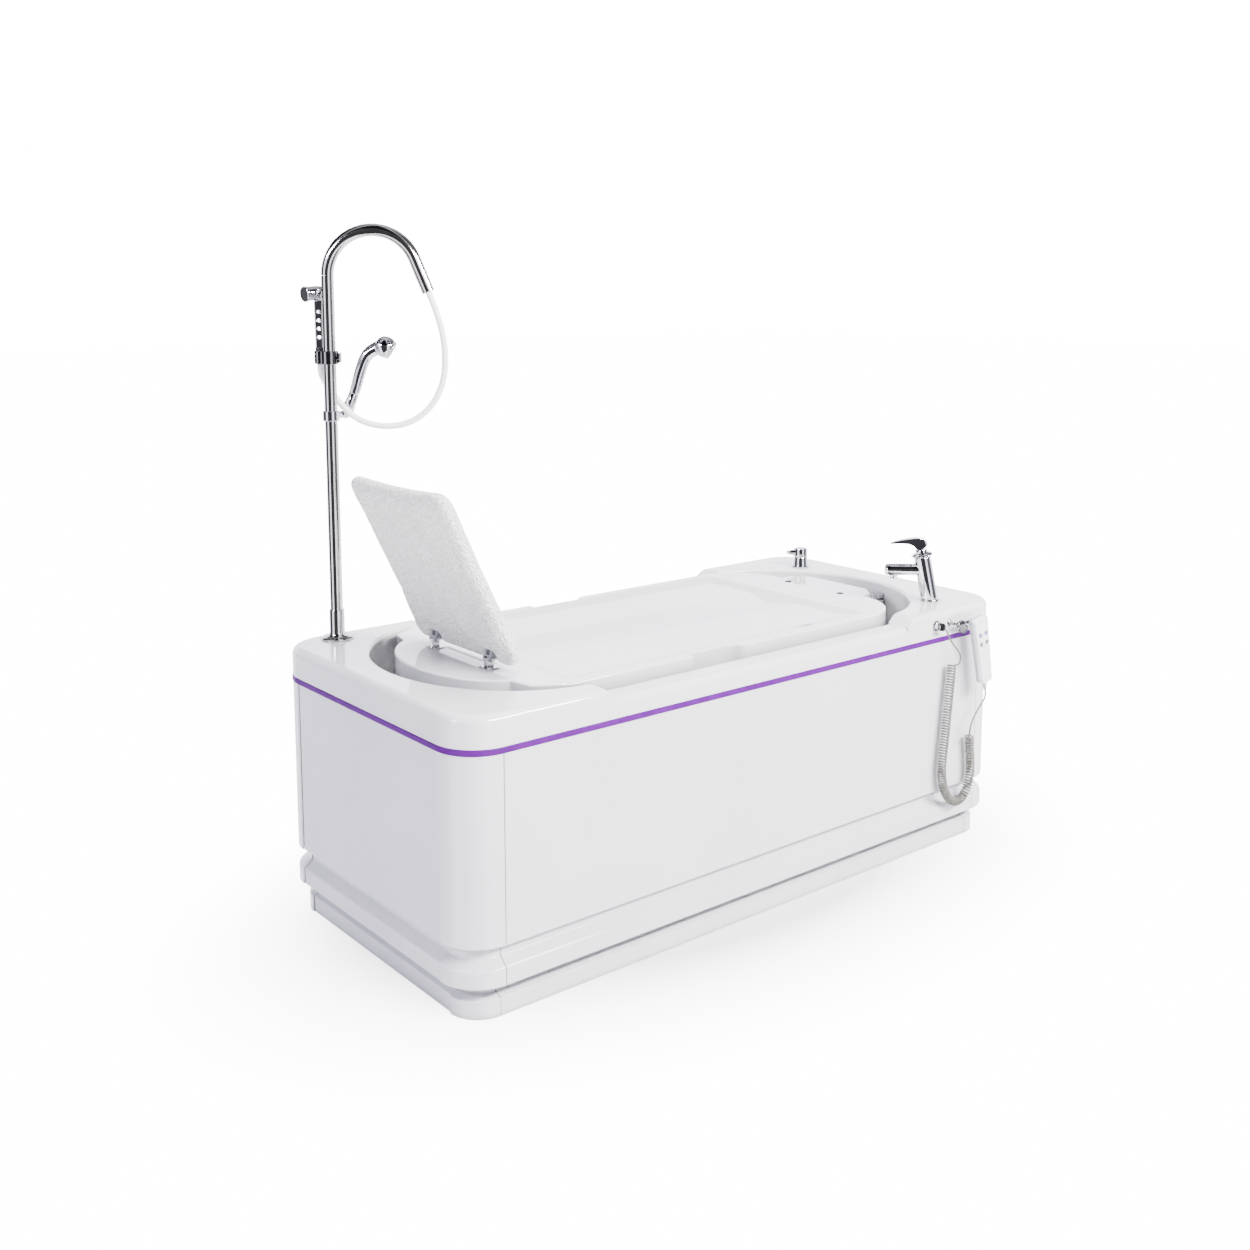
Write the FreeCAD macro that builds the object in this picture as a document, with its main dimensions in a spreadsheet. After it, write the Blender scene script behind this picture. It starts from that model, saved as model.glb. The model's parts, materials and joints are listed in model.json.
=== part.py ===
import FreeCAD, Part
import math
import os
from types import SimpleNamespace

import Sketcher
from FreeCAD import Placement, Rotation, Vector

# Height-adjustable assisted bath, millimetres. The origin is the centre of the footprint on
# the floor, +X runs to the foot end, +Y to the back and +Z up. Everything stands at rest:
# the bath is down on its columns and the bathing platform is up at rim height.

doc = FreeCAD.newDocument("assisted_bath")
sheet = doc.addObject("Spreadsheet::Sheet", "sizes")

sizes = {
    # whole bath
    "bath_length": 1760, "bath_width": 820, "corner_radius": 100,
    "seam_gap": 0.8, "seat_gap": 0.3, "running_gap": 0.05, "overrun": 5,
    # rim
    "rim_top": 662, "rim_drop": 24, "rim_edge_radius": 20, "rim_bottom": 591, "rim_wall": 5,
    "deck_skin": 8, "low_side_length": 970, "step_run": 30,
    # tub
    "tub_half_width": 345, "head_arc_x": 500, "foot_arc_x": 450, "head_nose": 300, "foot_nose": 330,
    "tub_roll": 10, "tub_wall": 6, "tub_bend_top": 320, "tub_floor": 215, "tub_floor_inset": 110,
    "tub_collar": 9,
    # coloured bead under the rim
    "bead_height": 11, "bead_proud": 1.2, "bead_depth": 6, "bead_radius": 2.5,
    # skirts: thickness, then the levels of the three tiers
    "skirt_sheet": 5, "end_recess": 3,
    "upper_bottom": 165,
    "mid_bottom": 78, "mid_face_top": 117, "mid_shoulder_top": 137, "mid_riser_inset": 22,
    "mid_riser_top": 350, "mid_shoulder_radius": 8,
    "plinth_inset": 23, "plinth_face_top": 41, "plinth_shoulder_top": 49, "plinth_riser_inset": 45,
    "plinth_riser_top": 250, "plinth_shoulder_radius": 3,
    # frames and lifting columns
    "frame_wall": 3, "ring_width": 24, "tub_frame_height": 65, "gusset_sheet": 10, "gusset_reach": 14,
    "mid_frame_width": 14, "mid_frame_height": 20,
    "rail_side": 40, "rail_y": 282, "floor_gap": 20, "middle_rail_x": 0,
    "column_x": 752, "column_side": 60, "column_wall": 3.7, "outer_stage_top": 325,
    "middle_stage_bottom": 80, "middle_stage_top": 362, "inner_stage_bottom": 90,
    "foot_pad_radius": 25, "foot_pad_height": 8, "foot_stem_radius": 6,
    "control_length": 220, "control_width": 130, "control_height": 48,
    "control_radius": 8,
    # waste and overflow
    "waste_x": 380, "waste_rim_radius": 35, "waste_rim_height": 3, "waste_hole_radius": 26,
    "waste_body_radius": 25, "waste_tail_radius": 23.5, "waste_bore_radius": 20.1,
    "waste_body_depth": 24, "waste_tail_depth": 78, "strainer_sheet": 2,
    "strainer_hole_radius": 3, "strainer_ring_radius": 11,
    "overflow_z": 540, "overflow_radius": 30, "overflow_depth": 7, "overflow_hub_radius": 12,
    "overflow_proud": 1.4, "overflow_hub_sag": 0.2,
    # bathing platform
    "platform_top": 664, "platform_height": 50, "platform_side_gap": 15, "platform_skin": 9,
    "platform_lip_radius": 5,
    "platform_nose_x": 745, "platform_nose_centre": 560, "platform_nose_half": 250,
    "platform_neck_x": 636, "platform_shoulder_x": 622, "platform_shoulder_y": 288,
    "platform_wide_x": 540, "platform_corner_x": 430, "platform_end_x": 592,
    "tongue_y": 152, "tongue_corner_x": 632, "tongue_tip_x": 670, "tongue_tip_y": 108,
    "hand_notch_start": 190, "hand_notch_end": 10, "hand_notch_run": 55, "hand_notch_depth": 26,
    "dish_half_width": 302, "dish_slope": 46, "dish_depth": 8, "trough_half_width": 82,
    "trough_depth": 6, "dish_head_x": 545, "dish_foot_x": 440, "dish_fade": 70,
    "drain_hole_x": 565, "drain_hole_y": 100, "drain_hole_radius": 8.5,
    "hinge_ridge_x": 590, "hinge_ridge_half": 95, "hinge_ridge_radius": 30, "hinge_ridge_height": 3,
    # platform guides
    "rod_radius": 8, "rod_y": 70, "rod_head_x": 768, "rod_foot_x": 747, "rod_bottom": 292,
    "rod_top": 632, "rod_foot_height": 12, "rod_foot_width": 30,
    "carriage_depth": 29, "carriage_half_width": 92, "carriage_height": 40, "carriage_arm": 112,
    "carriage_arm_sheet": 10,
    # backrest
    "backrest_angle": 64, "backrest_width": 416, "backrest_length": 452, "backrest_thickness": 34,
    "backrest_edge": 20, "backrest_corner": 38, "backrest_bow": 10, "backrest_start": 16,
    "backrest_back_gap": 4,
    "pin_x": 618, "pin_height": 22, "pin_radius": 4, "pin_length": 40, "bracket_y": 115,
    "bracket_base_x": 34, "bracket_base_y": 36, "bracket_base_sheet": 3, "bracket_post": 14,
    "bracket_eye_radius": 9,
    "board_width": 372, "board_length": 404, "board_sheet": 8, "board_start": 4, "board_offset": 13,
    "lug_sheet": 6, "lug_length": 26, "lug_eye_radius": 8,
    # shower riser
    "riser_x": 752, "riser_y": 348, "riser_radius": 15, "riser_wall": 1.5, "riser_turn": -38,
    "riser_bend_radius": 107, "riser_bend_z": 1540, "riser_bend_angle": 158, "riser_leg": 84,
    "riser_plug": 18,
    "flange_radius": 40, "flange_sheet": 6, "flange_cone_height": 12, "sleeve_radius": 18,
    "sleeve_height": 74,
    "collar_bottom": 1331, "collar_height": 32, "collar_wall": 6, "socket_along": 25,
    "socket_behind": 14, "socket_wall": 3.6,
    # hand spray
    "spray_stem_radius": 10, "spray_stem_bottom": 1333, "spray_stem_height": 34,
    "spray_handle_width": 21, "spray_handle_sheet": 14, "spray_handle_height": 112,
    "spray_hole_radius": 4.5, "spray_hole_first": 28, "spray_hole_pitch": 20,
    "spray_barrel_radius": 17, "spray_barrel_length": 34, "spray_gap": 4,
    "barrel_along": 87, "barrel_across": 48, "barrel_fall": 10,
    "spray_neck_radius": 10, "spray_face_radius": 19, "spray_face_sheet": 3,
    "trigger_width": 10, "trigger_sheet": 4, "trigger_length": 62, "trigger_gap": 3,
    "trigger_angle": 12, "trigger_pin_radius": 2, "trigger_radius": 4, "trigger_lug_sheet": 3,
    "hose_radius": 7.5, "hose_first_run": 65,
    # swivelling shower arm
    "stub_z": 1208, "stub_radius": 8, "stub_along": 27, "stub_behind": 47, "stub_ball_radius": 11,
    "stub_band_height": 24, "stub_band_wall": 5,
    "arm_lean": 23, "union_start": 9, "union_radius": 15, "union_tip_radius": 13, "union_length": 44,
    "arm_radius": 14, "arm_straight": 92, "arm_bend_radius": 55, "arm_bend_angle": 52,
    "head_small_radius": 17, "head_radius": 26, "head_length": 20, "head_rim": 6, "head_tilt": 45,
    # mixer
    "mixer_x": 700, "mixer_y": 305, "mixer_turn": 140, "mixer_lean": 11, "mixer_base_radius": 27,
    "mixer_base_sheet": 5, "mixer_radius": 23.5, "mixer_column": 124, "spout_height": 87,
    "spout_radius": 16, "spout_length": 108, "spout_end_radius": 6, "outlet_radius": 10,
    "outlet_drop": 8, "outlet_back": 14,
    "cap_radius": 29, "cap_sheet": 5, "cap_dome": 4, "neck_radius": 13, "neck_height": 20,
    "lever_half_width": 15, "lever_tip_half_width": 8, "lever_back": 19, "lever_lift": 8,
    "lever_length": 78, "lever_nose": 5, "lever_pivot": 13, "lever_pin_radius": 3,
    "tongue_radius": 6, "tongue_width": 10, "slot_reach": 14,
    # diverter
    "diverter_x": 757, "diverter_y": 235, "diverter_base_radius": 27, "diverter_base_sheet": 4,
    "diverter_radius": 22, "diverter_top_radius": 20, "diverter_body_height": 30,
    "diverter_handle_height": 27, "diverter_edge_radius": 3,
    "diverter_lever_radius": 8, "diverter_lever_length": 24, "diverter_lever_tip": 3,
    "diverter_turn": 140, "diverter_stem_radius": 9, "diverter_stem_height": 18,
    # pendant, its hook and its plug
    "socket_x": 597, "socket_z": 626, "socket_flange_radius": 14, "socket_flange_sheet": 3,
    "socket_barrel_radius": 10, "socket_barrel_length": 9, "plug_radius": 11, "plug_length": 13,
    "plug_elbow_radius": 6, "plug_elbow_length": 15, "plug_elbow_angle": 32,
    "hook_x": 652, "hook_z": 626, "hook_rod_radius": 4, "hook_reach": 28, "hook_length": 84,
    "hook_bend": 12, "hook_base_radius": 9, "hook_base_sheet": 3, "hook_ring_radius": 15,
    "hook_ring_wire": 2.5, "hook_ring_x": 20,
    "pendant_x": 708, "pendant_top": 641, "pendant_length": 186, "pendant_width": 56,
    "pendant_foot_width": 42, "pendant_depth": 25, "pendant_lean": 12, "pendant_radius": 7,
    "pendant_edge_radius": 3, "pendant_out": 50, "pendant_lug": 16, "lug_rim": 3,
    "button_radius": 6, "button_proud": 1.8, "button_depth": 5, "button_room": 2.2,
    "button_x": 12, "button_first": 46, "button_pitch": 26,
    "relief_radius": 7, "relief_tip_radius": 3.2, "relief_length": 26,
    # curly cord
    "cord_radius": 2.3, "coil_radius": 10, "coil_turns": 83.68, "coil_out": 22,
    "lead_in_run": 11, "lead_out_run": 18,
    # the hose's points are shares of the first, the cord's are shares of the second
    "hose_loop": 200, "cord_drop": 400,
}

# where the shower hose goes, from the pole at the foot of its collar
hose_shares = ((1.38, 0, 0.175), (1.36, 0, -0.205), (1.2, 0, -0.525), (0.93, 0, -0.715),
               (0.61, 0.02, -0.755), (0.33, 0.06, -0.685), (0.15, 0.1, -0.545),
               (0.01, 0.135, -0.375), (-0.08, 0.12, -0.225), (-0.125, 0.07, -0.115))
# where the curly cord's axis goes along X and Z, then its two plain ends, from the socket
coil_shares = ((0.1075, -0.27), (0.1075, -0.335), (0.0825, -0.5425), (0.0625, -0.745),
               (0.04125, -0.8975), (0.0325, -1.01), (0.0625, -1.1225), (0.1225, -1.21),
               (0.2025, -1.2475), (0.2875, -1.22), (0.3375, -1.135), (0.3475, -1.015),
               (0.3325, -0.9075), (0.3225, -0.8075))
lead_in_shares = ((0.0725, -0.055, -0.08), (0.1025, -0.065, -0.13), (0.14625, -0.0775, -0.18),
                  (0.16875, -0.08, -0.2175), (0.166, -0.08, -0.245))
lead_out_shares = ((0.27125, -0.09425, -0.78325), (0.27075, -0.0975, -0.7525),
                   (0.275, -0.1025, -0.6925), (0.3325, -0.115, -0.6), (0.3675, -0.12125, -0.5625))


for row, (name, number) in enumerate(sizes.items(), start=1):
    sheet.set(f"A{row}", name)
    sheet.set(f"B{row}", str(number))
    sheet.setAlias(f"B{row}", name)
doc.recompute()


class Size:
    # a length that knows its value and the sheet expression that gives it

    def __init__(self, value, text):
        self.value = value
        self.text = text

    def __float__(self):
        return float(self.value)

    def joined(self, other, sign, value):
        text = other.text if isinstance(other, Size) else str(other)
        return Size(value, f"({self.text} {sign} {text})")

    def __add__(self, other):
        return self.joined(other, "+", self.value + float(other))

    def __sub__(self, other):
        return self.joined(other, "-", self.value - float(other))

    def __mul__(self, other):
        return self.joined(other, "*", self.value * float(other))

    def __truediv__(self, other):
        return self.joined(other, "/", self.value / float(other))

    __radd__ = __add__
    __rmul__ = __mul__


cell = SimpleNamespace(**{name: Size(sheet.get(name), f"sizes.{name}") for name in sizes})
mm = SimpleNamespace(**{name: float(sheet.get(name)) for name in sizes})
zero = Size(0.0, "0")
parts = []


def bind(thing, path, size):
    thing.setExpression(path, size.text)


def node(thing, name):
    thing.Label = name
    parts.append(thing)
    return thing


def place(thing, base, rotation=None):
    thing.Placement = Placement(Vector(*[float(value) for value in base]), rotation or Rotation())
    return thing


def towards(direction):
    return Rotation(Vector(0, 0, 1), Vector(*direction))


def box(length, width, height, base):
    thing = doc.addObject("Part::Box", "box")
    for path, size in (("Length", length), ("Width", width), ("Height", height)):
        bind(thing, path, size)
    return place(thing, base)


def cylinder(radius, height, base, direction=(0, 0, 1)):
    thing = doc.addObject("Part::Cylinder", "cylinder")
    bind(thing, "Radius", radius)
    bind(thing, "Height", height)
    return place(thing, base, towards(direction))


def cone(radius, tip_radius, height, base, direction=(0, 0, 1)):
    thing = doc.addObject("Part::Cone", "cone")
    for path, size in (("Radius1", radius), ("Radius2", tip_radius), ("Height", height)):
        bind(thing, path, size)
    return place(thing, base, towards(direction))


def ball(radius, base):
    thing = doc.addObject("Part::Sphere", "ball")
    bind(thing, "Radius", radius)
    return place(thing, base)


def fused(pieces):
    thing = doc.addObject("Part::MultiFuse", "fused")
    thing.Shapes = pieces
    return thing


def cut(base, tool):
    thing = doc.addObject("Part::Cut", "cut")
    thing.Base = base
    thing.Tool = tool
    return thing


def grouped(pieces):
    thing = doc.addObject("Part::Compound", "group")
    thing.Links = pieces
    return thing


def rounded(base, radius, chosen):
    # a fillet on the edges of a finished shape that the test picks
    doc.recompute()
    thing = doc.addObject("Part::Fillet", "rounded")
    thing.Base = base
    thing.Edges = [(number, float(radius), float(radius))
                   for number, edge in enumerate(base.Shape.Edges, start=1) if chosen(edge)]
    return thing


def shaped(shape):
    thing = doc.addObject("Part::Feature", "shaped")
    thing.Shape = shape
    return thing


def sketched(body, role, points):
    # a closed outline of straight lines with every corner tied to the sheet
    sketch = body.newObject("Sketcher::SketchObject", "outline")
    plane = [item for item in body.Origin.OriginFeatures if item.Role == role][0]
    sketch.AttachmentSupport = [(plane, "")]
    sketch.MapMode = "FlatFace"
    corners = [Vector(float(x), float(y), 0) for x, y in points]
    for start, end in zip(corners, corners[1:] + corners[:1]):
        sketch.addGeometry(Part.LineSegment(start, end))
    for index in range(len(points)):
        before = (index - 1) % len(points)
        sketch.addConstraint(Sketcher.Constraint("Coincident", before, 2, index, 1))
    for index, (x, y) in enumerate(points):
        for kind, axis, size in (("DistanceX", -2, x), ("DistanceY", -1, y)):
            if float(size) == 0:
                sketch.addConstraint(Sketcher.Constraint("PointOnObject", index, 1, axis))
                continue
            number = sketch.addConstraint(
                Sketcher.Constraint(kind, -1, 1, index, 1, float(size)))
            sketch.setExpression(f"Constraints[{number}]", size.text)
    return sketch


def rectangle(low_x, low_y, high_x, high_y):
    return [(low_x, low_y), (high_x, low_y), (high_x, high_y), (low_x, high_y)]


def pad(points, length, role="XY_Plane"):
    body = doc.addObject("PartDesign::Body", "body")
    feature = body.newObject("PartDesign::Pad", "pad")
    feature.Profile = sketched(body, role, points)
    bind(feature, "Length", length)
    body.Tip = feature
    doc.recompute()
    return body


def pocket(body, points, length, role="XY_Plane"):
    doc.recompute()
    full = body.Shape.Volume
    feature = body.newObject("PartDesign::Pocket", "pocket")
    feature.Profile = sketched(body, role, points)
    bind(feature, "Length", length)
    body.Tip = feature
    doc.recompute()
    if body.Shape.Volume >= full:
        feature.Reversed = True
        doc.recompute()
    return body


def turned(points, angle=None):
    # an outline of radius and height turned about the vertical axis
    body = doc.addObject("PartDesign::Body", "body")
    feature = body.newObject("PartDesign::Revolution", "turned")
    sketch = sketched(body, "XZ_Plane", points)
    feature.Profile = sketch
    feature.ReferenceAxis = (sketch, ["V_Axis"])
    feature.Angle = angle or 360
    body.Tip = feature
    doc.recompute()
    return body


def softened(body, radius, chosen):
    doc.recompute()
    base = body.Tip
    feature = body.newObject("PartDesign::Fillet", "softened")
    names = [f"Edge{number}" for number, edge in enumerate(base.Shape.Edges, start=1) if chosen(edge)]
    feature.Base = (base, names)
    bind(feature, "Radius", radius)
    body.Tip = feature
    doc.recompute()
    return body


def upright(edge):
    box_of_edge = edge.BoundBox
    return box_of_edge.XLength + box_of_edge.YLength < edge.Length / 2


def at_level(edge, level):
    low, high = edge.BoundBox.ZMin, edge.BoundBox.ZMax
    return abs(low - level) < mm.running_gap and high - low < mm.running_gap


def prism(wire, height):
    return Part.Face(wire).extrude(Vector(0, 0, height))


def rounded_wire(length, width, radius, level):
    # a rectangle with round corners about the centre of the bath
    x, y = length / 2, width / 2
    diagonal = radius * (1 - math.sqrt(0.5))
    edges = []
    for sx, sy, flip in ((1, 1, False), (-1, 1, True), (-1, -1, False), (1, -1, True)):
        ends = [Vector(sx * x, sy * (y - radius), level), Vector(sx * (x - radius), sy * y, level)]
        if flip:
            ends.reverse()
        middle = Vector(sx * (x - diagonal), sy * (y - diagonal), level)
        edges.append(Part.Arc(ends[0], middle, ends[1]).toShape())
    corners = list(edges)
    for before, after in zip(corners, corners[1:] + corners[:1]):
        edges.append(Part.LineSegment(before.lastVertex(True).Point,
                                      after.firstVertex(True).Point).toShape())
    return Part.Wire(Part.__sortEdges__(edges))


# skirts: three telescoping tiers of corner posts and panels

def step_profile(inset, foot, face_top, shoulder_top, riser_inset, riser_top):
    # a low face, a sloping shoulder and the riser that slides up behind the tier above
    face = cell.corner_radius - inset
    riser = cell.corner_radius - riser_inset
    wall = cell.skirt_sheet
    return [(face - wall, foot), (face, foot), (face, face_top), (riser, shoulder_top),
            (riser, riser_top), (riser - wall, riser_top), (riser - wall, shoulder_top - wall),
            (face - wall, face_top - wall)]


def tier(profile, shoulder_radius=None, shoulder_level=None):
    # four panels, back, head, front and foot, then the four corner posts between them
    panels, posts = [], []
    for quarter in range(4):
        side, across = cell.bath_length, cell.bath_width
        recess = zero
        if quarter % 2:
            side, across, recess = across, side, cell.end_recess
        length = side - 2 * cell.corner_radius - 2 * cell.seam_gap
        out = across / 2 - cell.corner_radius - recess
        turn = Rotation(Vector(0, 0, 1), 90 * quarter)
        panel = pad(profile, length, "YZ_Plane")
        panel.Placement = Placement(turn.multVec(Vector(-float(length) / 2, float(out), 0)), turn)
        panels.append(panel)
        post = turned(profile, 90)
        post.Placement = Placement(Vector((1, -1, -1, 1)[quarter] * corner_x,
                                          (1, 1, -1, -1)[quarter] * corner_y, 0), turn)
        posts.append(post)
    if shoulder_radius:
        for body in panels + posts:
            softened(body, shoulder_radius, lambda edge: at_level(edge, float(shoulder_level)))
    return panels, posts


corner_x = mm.bath_length / 2 - mm.corner_radius
corner_y = mm.bath_width / 2 - mm.corner_radius
side_names = ("back", "head", "front", "foot")
corner_names = ("foot_back", "head_back", "head_front", "foot_front")
upper_top = cell.rim_bottom - cell.bead_height
upper_profile = rectangle(cell.corner_radius - cell.skirt_sheet, cell.upper_bottom,
                          cell.corner_radius, upper_top)
panels, posts = tier(upper_profile)
for number in range(4):
    node(panels[number], f"upper_panel_{side_names[number]}")
    node(posts[number], f"upper_corner_{corner_names[number]}")

panels, posts = tier(step_profile(zero, cell.mid_bottom, cell.mid_face_top, cell.mid_shoulder_top,
                                  cell.mid_riser_inset, cell.mid_riser_top),
                     cell.mid_shoulder_radius, cell.mid_face_top)
for number in range(4):
    node(panels[number], f"mid_panel_{side_names[number]}")
node(grouped(posts), "mid_corners")

panels, posts = tier(step_profile(cell.plinth_inset, zero, cell.plinth_face_top,
                                  cell.plinth_shoulder_top, cell.plinth_riser_inset,
                                  cell.plinth_riser_top),
                     cell.plinth_shoulder_radius, cell.plinth_face_top)
node(grouped(panels), "plinth_panels")
node(grouped(posts), "plinth_corners")


# tub: a deck lower along the sides than at the ends, round an opening with elliptical ends

def plan(inset_x, inset_y, level):
    # the plan of the bath moved inwards
    return rounded_wire(mm.bath_length - 2 * inset_x, mm.bath_width - 2 * inset_y,
                        mm.corner_radius - max(inset_x, inset_y), level)


def opening(grow, level):
    edges = []
    half = mm.tub_half_width + grow
    for side, centre_x, nose in ((-1, mm.head_arc_x, mm.head_nose), (1, mm.foot_arc_x, mm.foot_nose)):
        centre = Vector(side * centre_x, 0, level)
        ellipse = Part.Ellipse(centre - Vector(0, side * half, 0),
                               centre + Vector(side * (nose + grow), 0, 0), centre)
        edges.append(Part.ArcOfEllipse(ellipse, 0, math.pi).toShape())
        edges.append(Part.LineSegment(Vector(-mm.head_arc_x, side * half, level),
                                      Vector(mm.foot_arc_x, side * half, level)).toShape())
    return Part.Wire(Part.__sortEdges__(edges))


def basin(grow, top):
    # the hollow of the tub up to a level, with its walls moved outwards
    fall = mm.tub_bend_top - mm.tub_floor + grow
    rings = []
    for step in range(basin_steps + 1):
        angle = math.pi / 2 * step / basin_steps
        rings.append(opening(grow - mm.tub_floor_inset * (1 - math.cos(angle)),
                             mm.tub_bend_top - fall * math.sin(angle)))
    upper = prism(opening(grow, mm.tub_bend_top), top - mm.tub_bend_top)
    return upper.fuse(Part.makeLoft(rings, True, False)).removeSplitter()


def slab(top):
    shape = prism(plan(0, 0, mm.rim_bottom), top - mm.rim_bottom)
    shape = shape.makeFillet(mm.rim_edge_radius,
                             [edge for edge in shape.Edges if at_level(edge, top)])
    shape = shape.cut(prism(opening(0, mm.rim_bottom), top - mm.rim_bottom))
    return shape.makeFillet(mm.tub_roll, [
        edge for edge in shape.Edges
        if at_level(edge, top) and edge.BoundBox.XMax < mm.foot_arc_x + mm.foot_nose + mm.overrun
        and max(-edge.BoundBox.YMin, edge.BoundBox.YMax) < mm.tub_half_width + mm.overrun])


def ends(start, bottom, low, top):
    # wedges that pick the raised ends of the deck
    shapes = []
    for side in (-1, 1):
        points = [(start, bottom), (start, low), (start + mm.step_run, top),
                  (mm.bath_length, top), (mm.bath_length, bottom)]
        outline = [Vector(side * x, -mm.bath_width, z) for x, z in points + points[:1]]
        shapes.append(Part.Face(Part.makePolygon(outline)).extrude(Vector(0, 2 * mm.bath_width, 0)))
    return shapes[0].fuse(shapes[1])


basin_steps = 6
low_deck = mm.rim_top - mm.rim_drop
half_side = mm.low_side_length / 2
collar = mm.tub_wall + mm.tub_collar
rim = slab(low_deck).fuse(slab(mm.rim_top).common(ends(half_side, mm.rim_bottom, low_deck, mm.rim_top)))
hollow = prism(plan(mm.rim_wall, mm.rim_wall, mm.rim_bottom), low_deck - mm.deck_skin - mm.rim_bottom)
hollow_ends = prism(plan(mm.rim_edge_radius, mm.rim_edge_radius, mm.rim_bottom),
                    mm.rim_top - mm.deck_skin - mm.rim_bottom)
hollow = hollow.fuse(hollow_ends.common(ends(half_side + mm.step_run, mm.rim_bottom,
                                             low_deck - mm.deck_skin, mm.rim_top - mm.deck_skin)))
rim = rim.cut(hollow.cut(prism(opening(collar, mm.rim_bottom), mm.rim_drop + mm.bath_width)))
tub = rim.fuse(basin(mm.tub_wall, mm.rim_bottom + mm.tub_wall))
tub = tub.cut(basin(0, mm.rim_bottom + mm.tub_wall))
tub = tub.cut(Part.makeCylinder(mm.waste_hole_radius, mm.tub_bend_top,
                                Vector(mm.waste_x, 0, 0)))
node(shaped(tub.removeSplitter()), "bath_tub")

strip_inner = mm.bead_depth - mm.bead_proud
strip = prism(plan(-mm.bead_proud, -mm.bead_proud, float(upper_top)), mm.bead_height)
strip = strip.makeFillet(mm.bead_radius, [edge for edge in strip.Edges
                                          if edge.BoundBox.ZLength < mm.seat_gap])
strip = strip.cut(prism(plan(strip_inner, strip_inner, float(upper_top)), mm.bead_height))
node(shaped(strip), "bead_strip")


# frames that carry the tub and the middle tier, with gussets over the lifting columns

def stage_side(stage):
    return cell.column_side - stage * (2 * cell.column_wall + 2 * cell.seat_gap)


def ring_frame(inset, level, height, width):
    outer = plan(inset + mm.end_recess, inset, level)
    inner = plan(inset + mm.end_recess + width, inset + width, level)
    return prism(outer, height).cut(prism(inner, height))


def gussets(inset, level, sheet, stage):
    reach = float(stage_side(stage)) / 2 + mm.gusset_reach
    shape = prism(plan(inset + mm.end_recess, inset, level), sheet)
    shape = shape.cut(prism(opening(mm.tub_wall + mm.overrun, level), sheet))
    blocks = [Part.makeBox(mm.bath_length, mm.bath_width, sheet,
                           Vector(*[(mm.column_x - reach, -mm.column_x + reach - mm.bath_length)[sx],
                                    (mm.rail_y - reach, -mm.rail_y + reach - mm.bath_width)[sy], level]))
              for sx in (0, 1) for sy in (0, 1)]
    return shape.common(blocks[0].multiFuse(blocks[1:]))


frame_inset = mm.skirt_sheet + mm.seat_gap
tub_ring_top = low_deck - mm.deck_skin
tub_ring_bottom = tub_ring_top - mm.tub_frame_height
ring = ring_frame(frame_inset, tub_ring_bottom, mm.tub_frame_height, mm.ring_width)
ring = ring.cut(ring_frame(frame_inset + mm.frame_wall, tub_ring_bottom,
                           mm.tub_frame_height - mm.frame_wall, mm.ring_width - 2 * mm.frame_wall))
node(shaped(ring.fuse(gussets(frame_inset, tub_ring_bottom, mm.gusset_sheet, 2)).removeSplitter()),
     "tub_frame")

mid_inset = frame_inset + mm.mid_riser_inset
mid_level = mm.mid_riser_top - mm.mid_frame_height
plate_level = mid_level + (mm.mid_frame_height - mm.gusset_sheet) / 2
ring = ring_frame(mid_inset, mid_level, mm.mid_frame_height, mm.mid_frame_width)
ring = ring.fuse(gussets(mid_inset, plate_level, mm.gusset_sheet, 1))
side = float(stage_side(1)) + 2 * mm.seat_gap
for x in (-mm.column_x, mm.column_x):
    for y in (-mm.rail_y, mm.rail_y):
        ring = ring.cut(Part.makeBox(side, side, mm.mid_frame_height,
                                     Vector(x - side / 2, y - side / 2, mid_level)))
node(shaped(ring.removeSplitter()), "mid_frame")

floor_top = cell.floor_gap + cell.rail_side
stages = (("column_outer", floor_top, cell.outer_stage_top),
          ("column_middle", cell.middle_stage_bottom, cell.middle_stage_top),
          ("column_inner", cell.inner_stage_bottom,
           cell.rim_top - cell.rim_drop - cell.deck_skin - cell.tub_frame_height))
for stage, (name, bottom, top) in enumerate(stages):
    side = stage_side(stage)
    bore = side - 2 * cell.column_wall
    tubes = []
    for x in (-mm.column_x, mm.column_x):
        for y in (-mm.rail_y, mm.rail_y):
            tubes.append(cut(box(side, side, top - bottom,
                                 (x - float(side) / 2, y - float(side) / 2, bottom)),
                             box(bore, bore, top - bottom,
                                 (x - float(bore) / 2, y - float(bore) / 2, bottom))))
    node(grouped(tubes), name)


# base frame on levelling feet, and the control box on its middle rail

clear = cell.plinth_riser_inset + cell.skirt_sheet + cell.seat_gap
rail_length = cell.bath_length - 2 * (clear + cell.end_recess)
cross_length = cell.bath_width - 2 * clear
bore = cell.rail_side - 2 * cell.frame_wall
hollow_z = cell.floor_gap + cell.frame_wall
rails = [cut(box(rail_length, cell.rail_side, cell.rail_side,
                 (-float(rail_length) / 2, y - mm.rail_side / 2, cell.floor_gap)),
             box(rail_length, bore, bore, (-float(rail_length) / 2, y - float(bore) / 2, hollow_z)))
         for y in (-mm.rail_y, mm.rail_y)]
rails += [cut(box(cell.rail_side, cross_length, cell.rail_side,
                  (x - mm.rail_side / 2, -float(cross_length) / 2, cell.floor_gap)),
              box(bore, cross_length, bore, (x - float(bore) / 2, -float(cross_length) / 2, hollow_z)))
          for x in (-mm.column_x, mm.middle_rail_x, mm.column_x)]
node(fused(rails), "base_frame")

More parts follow.
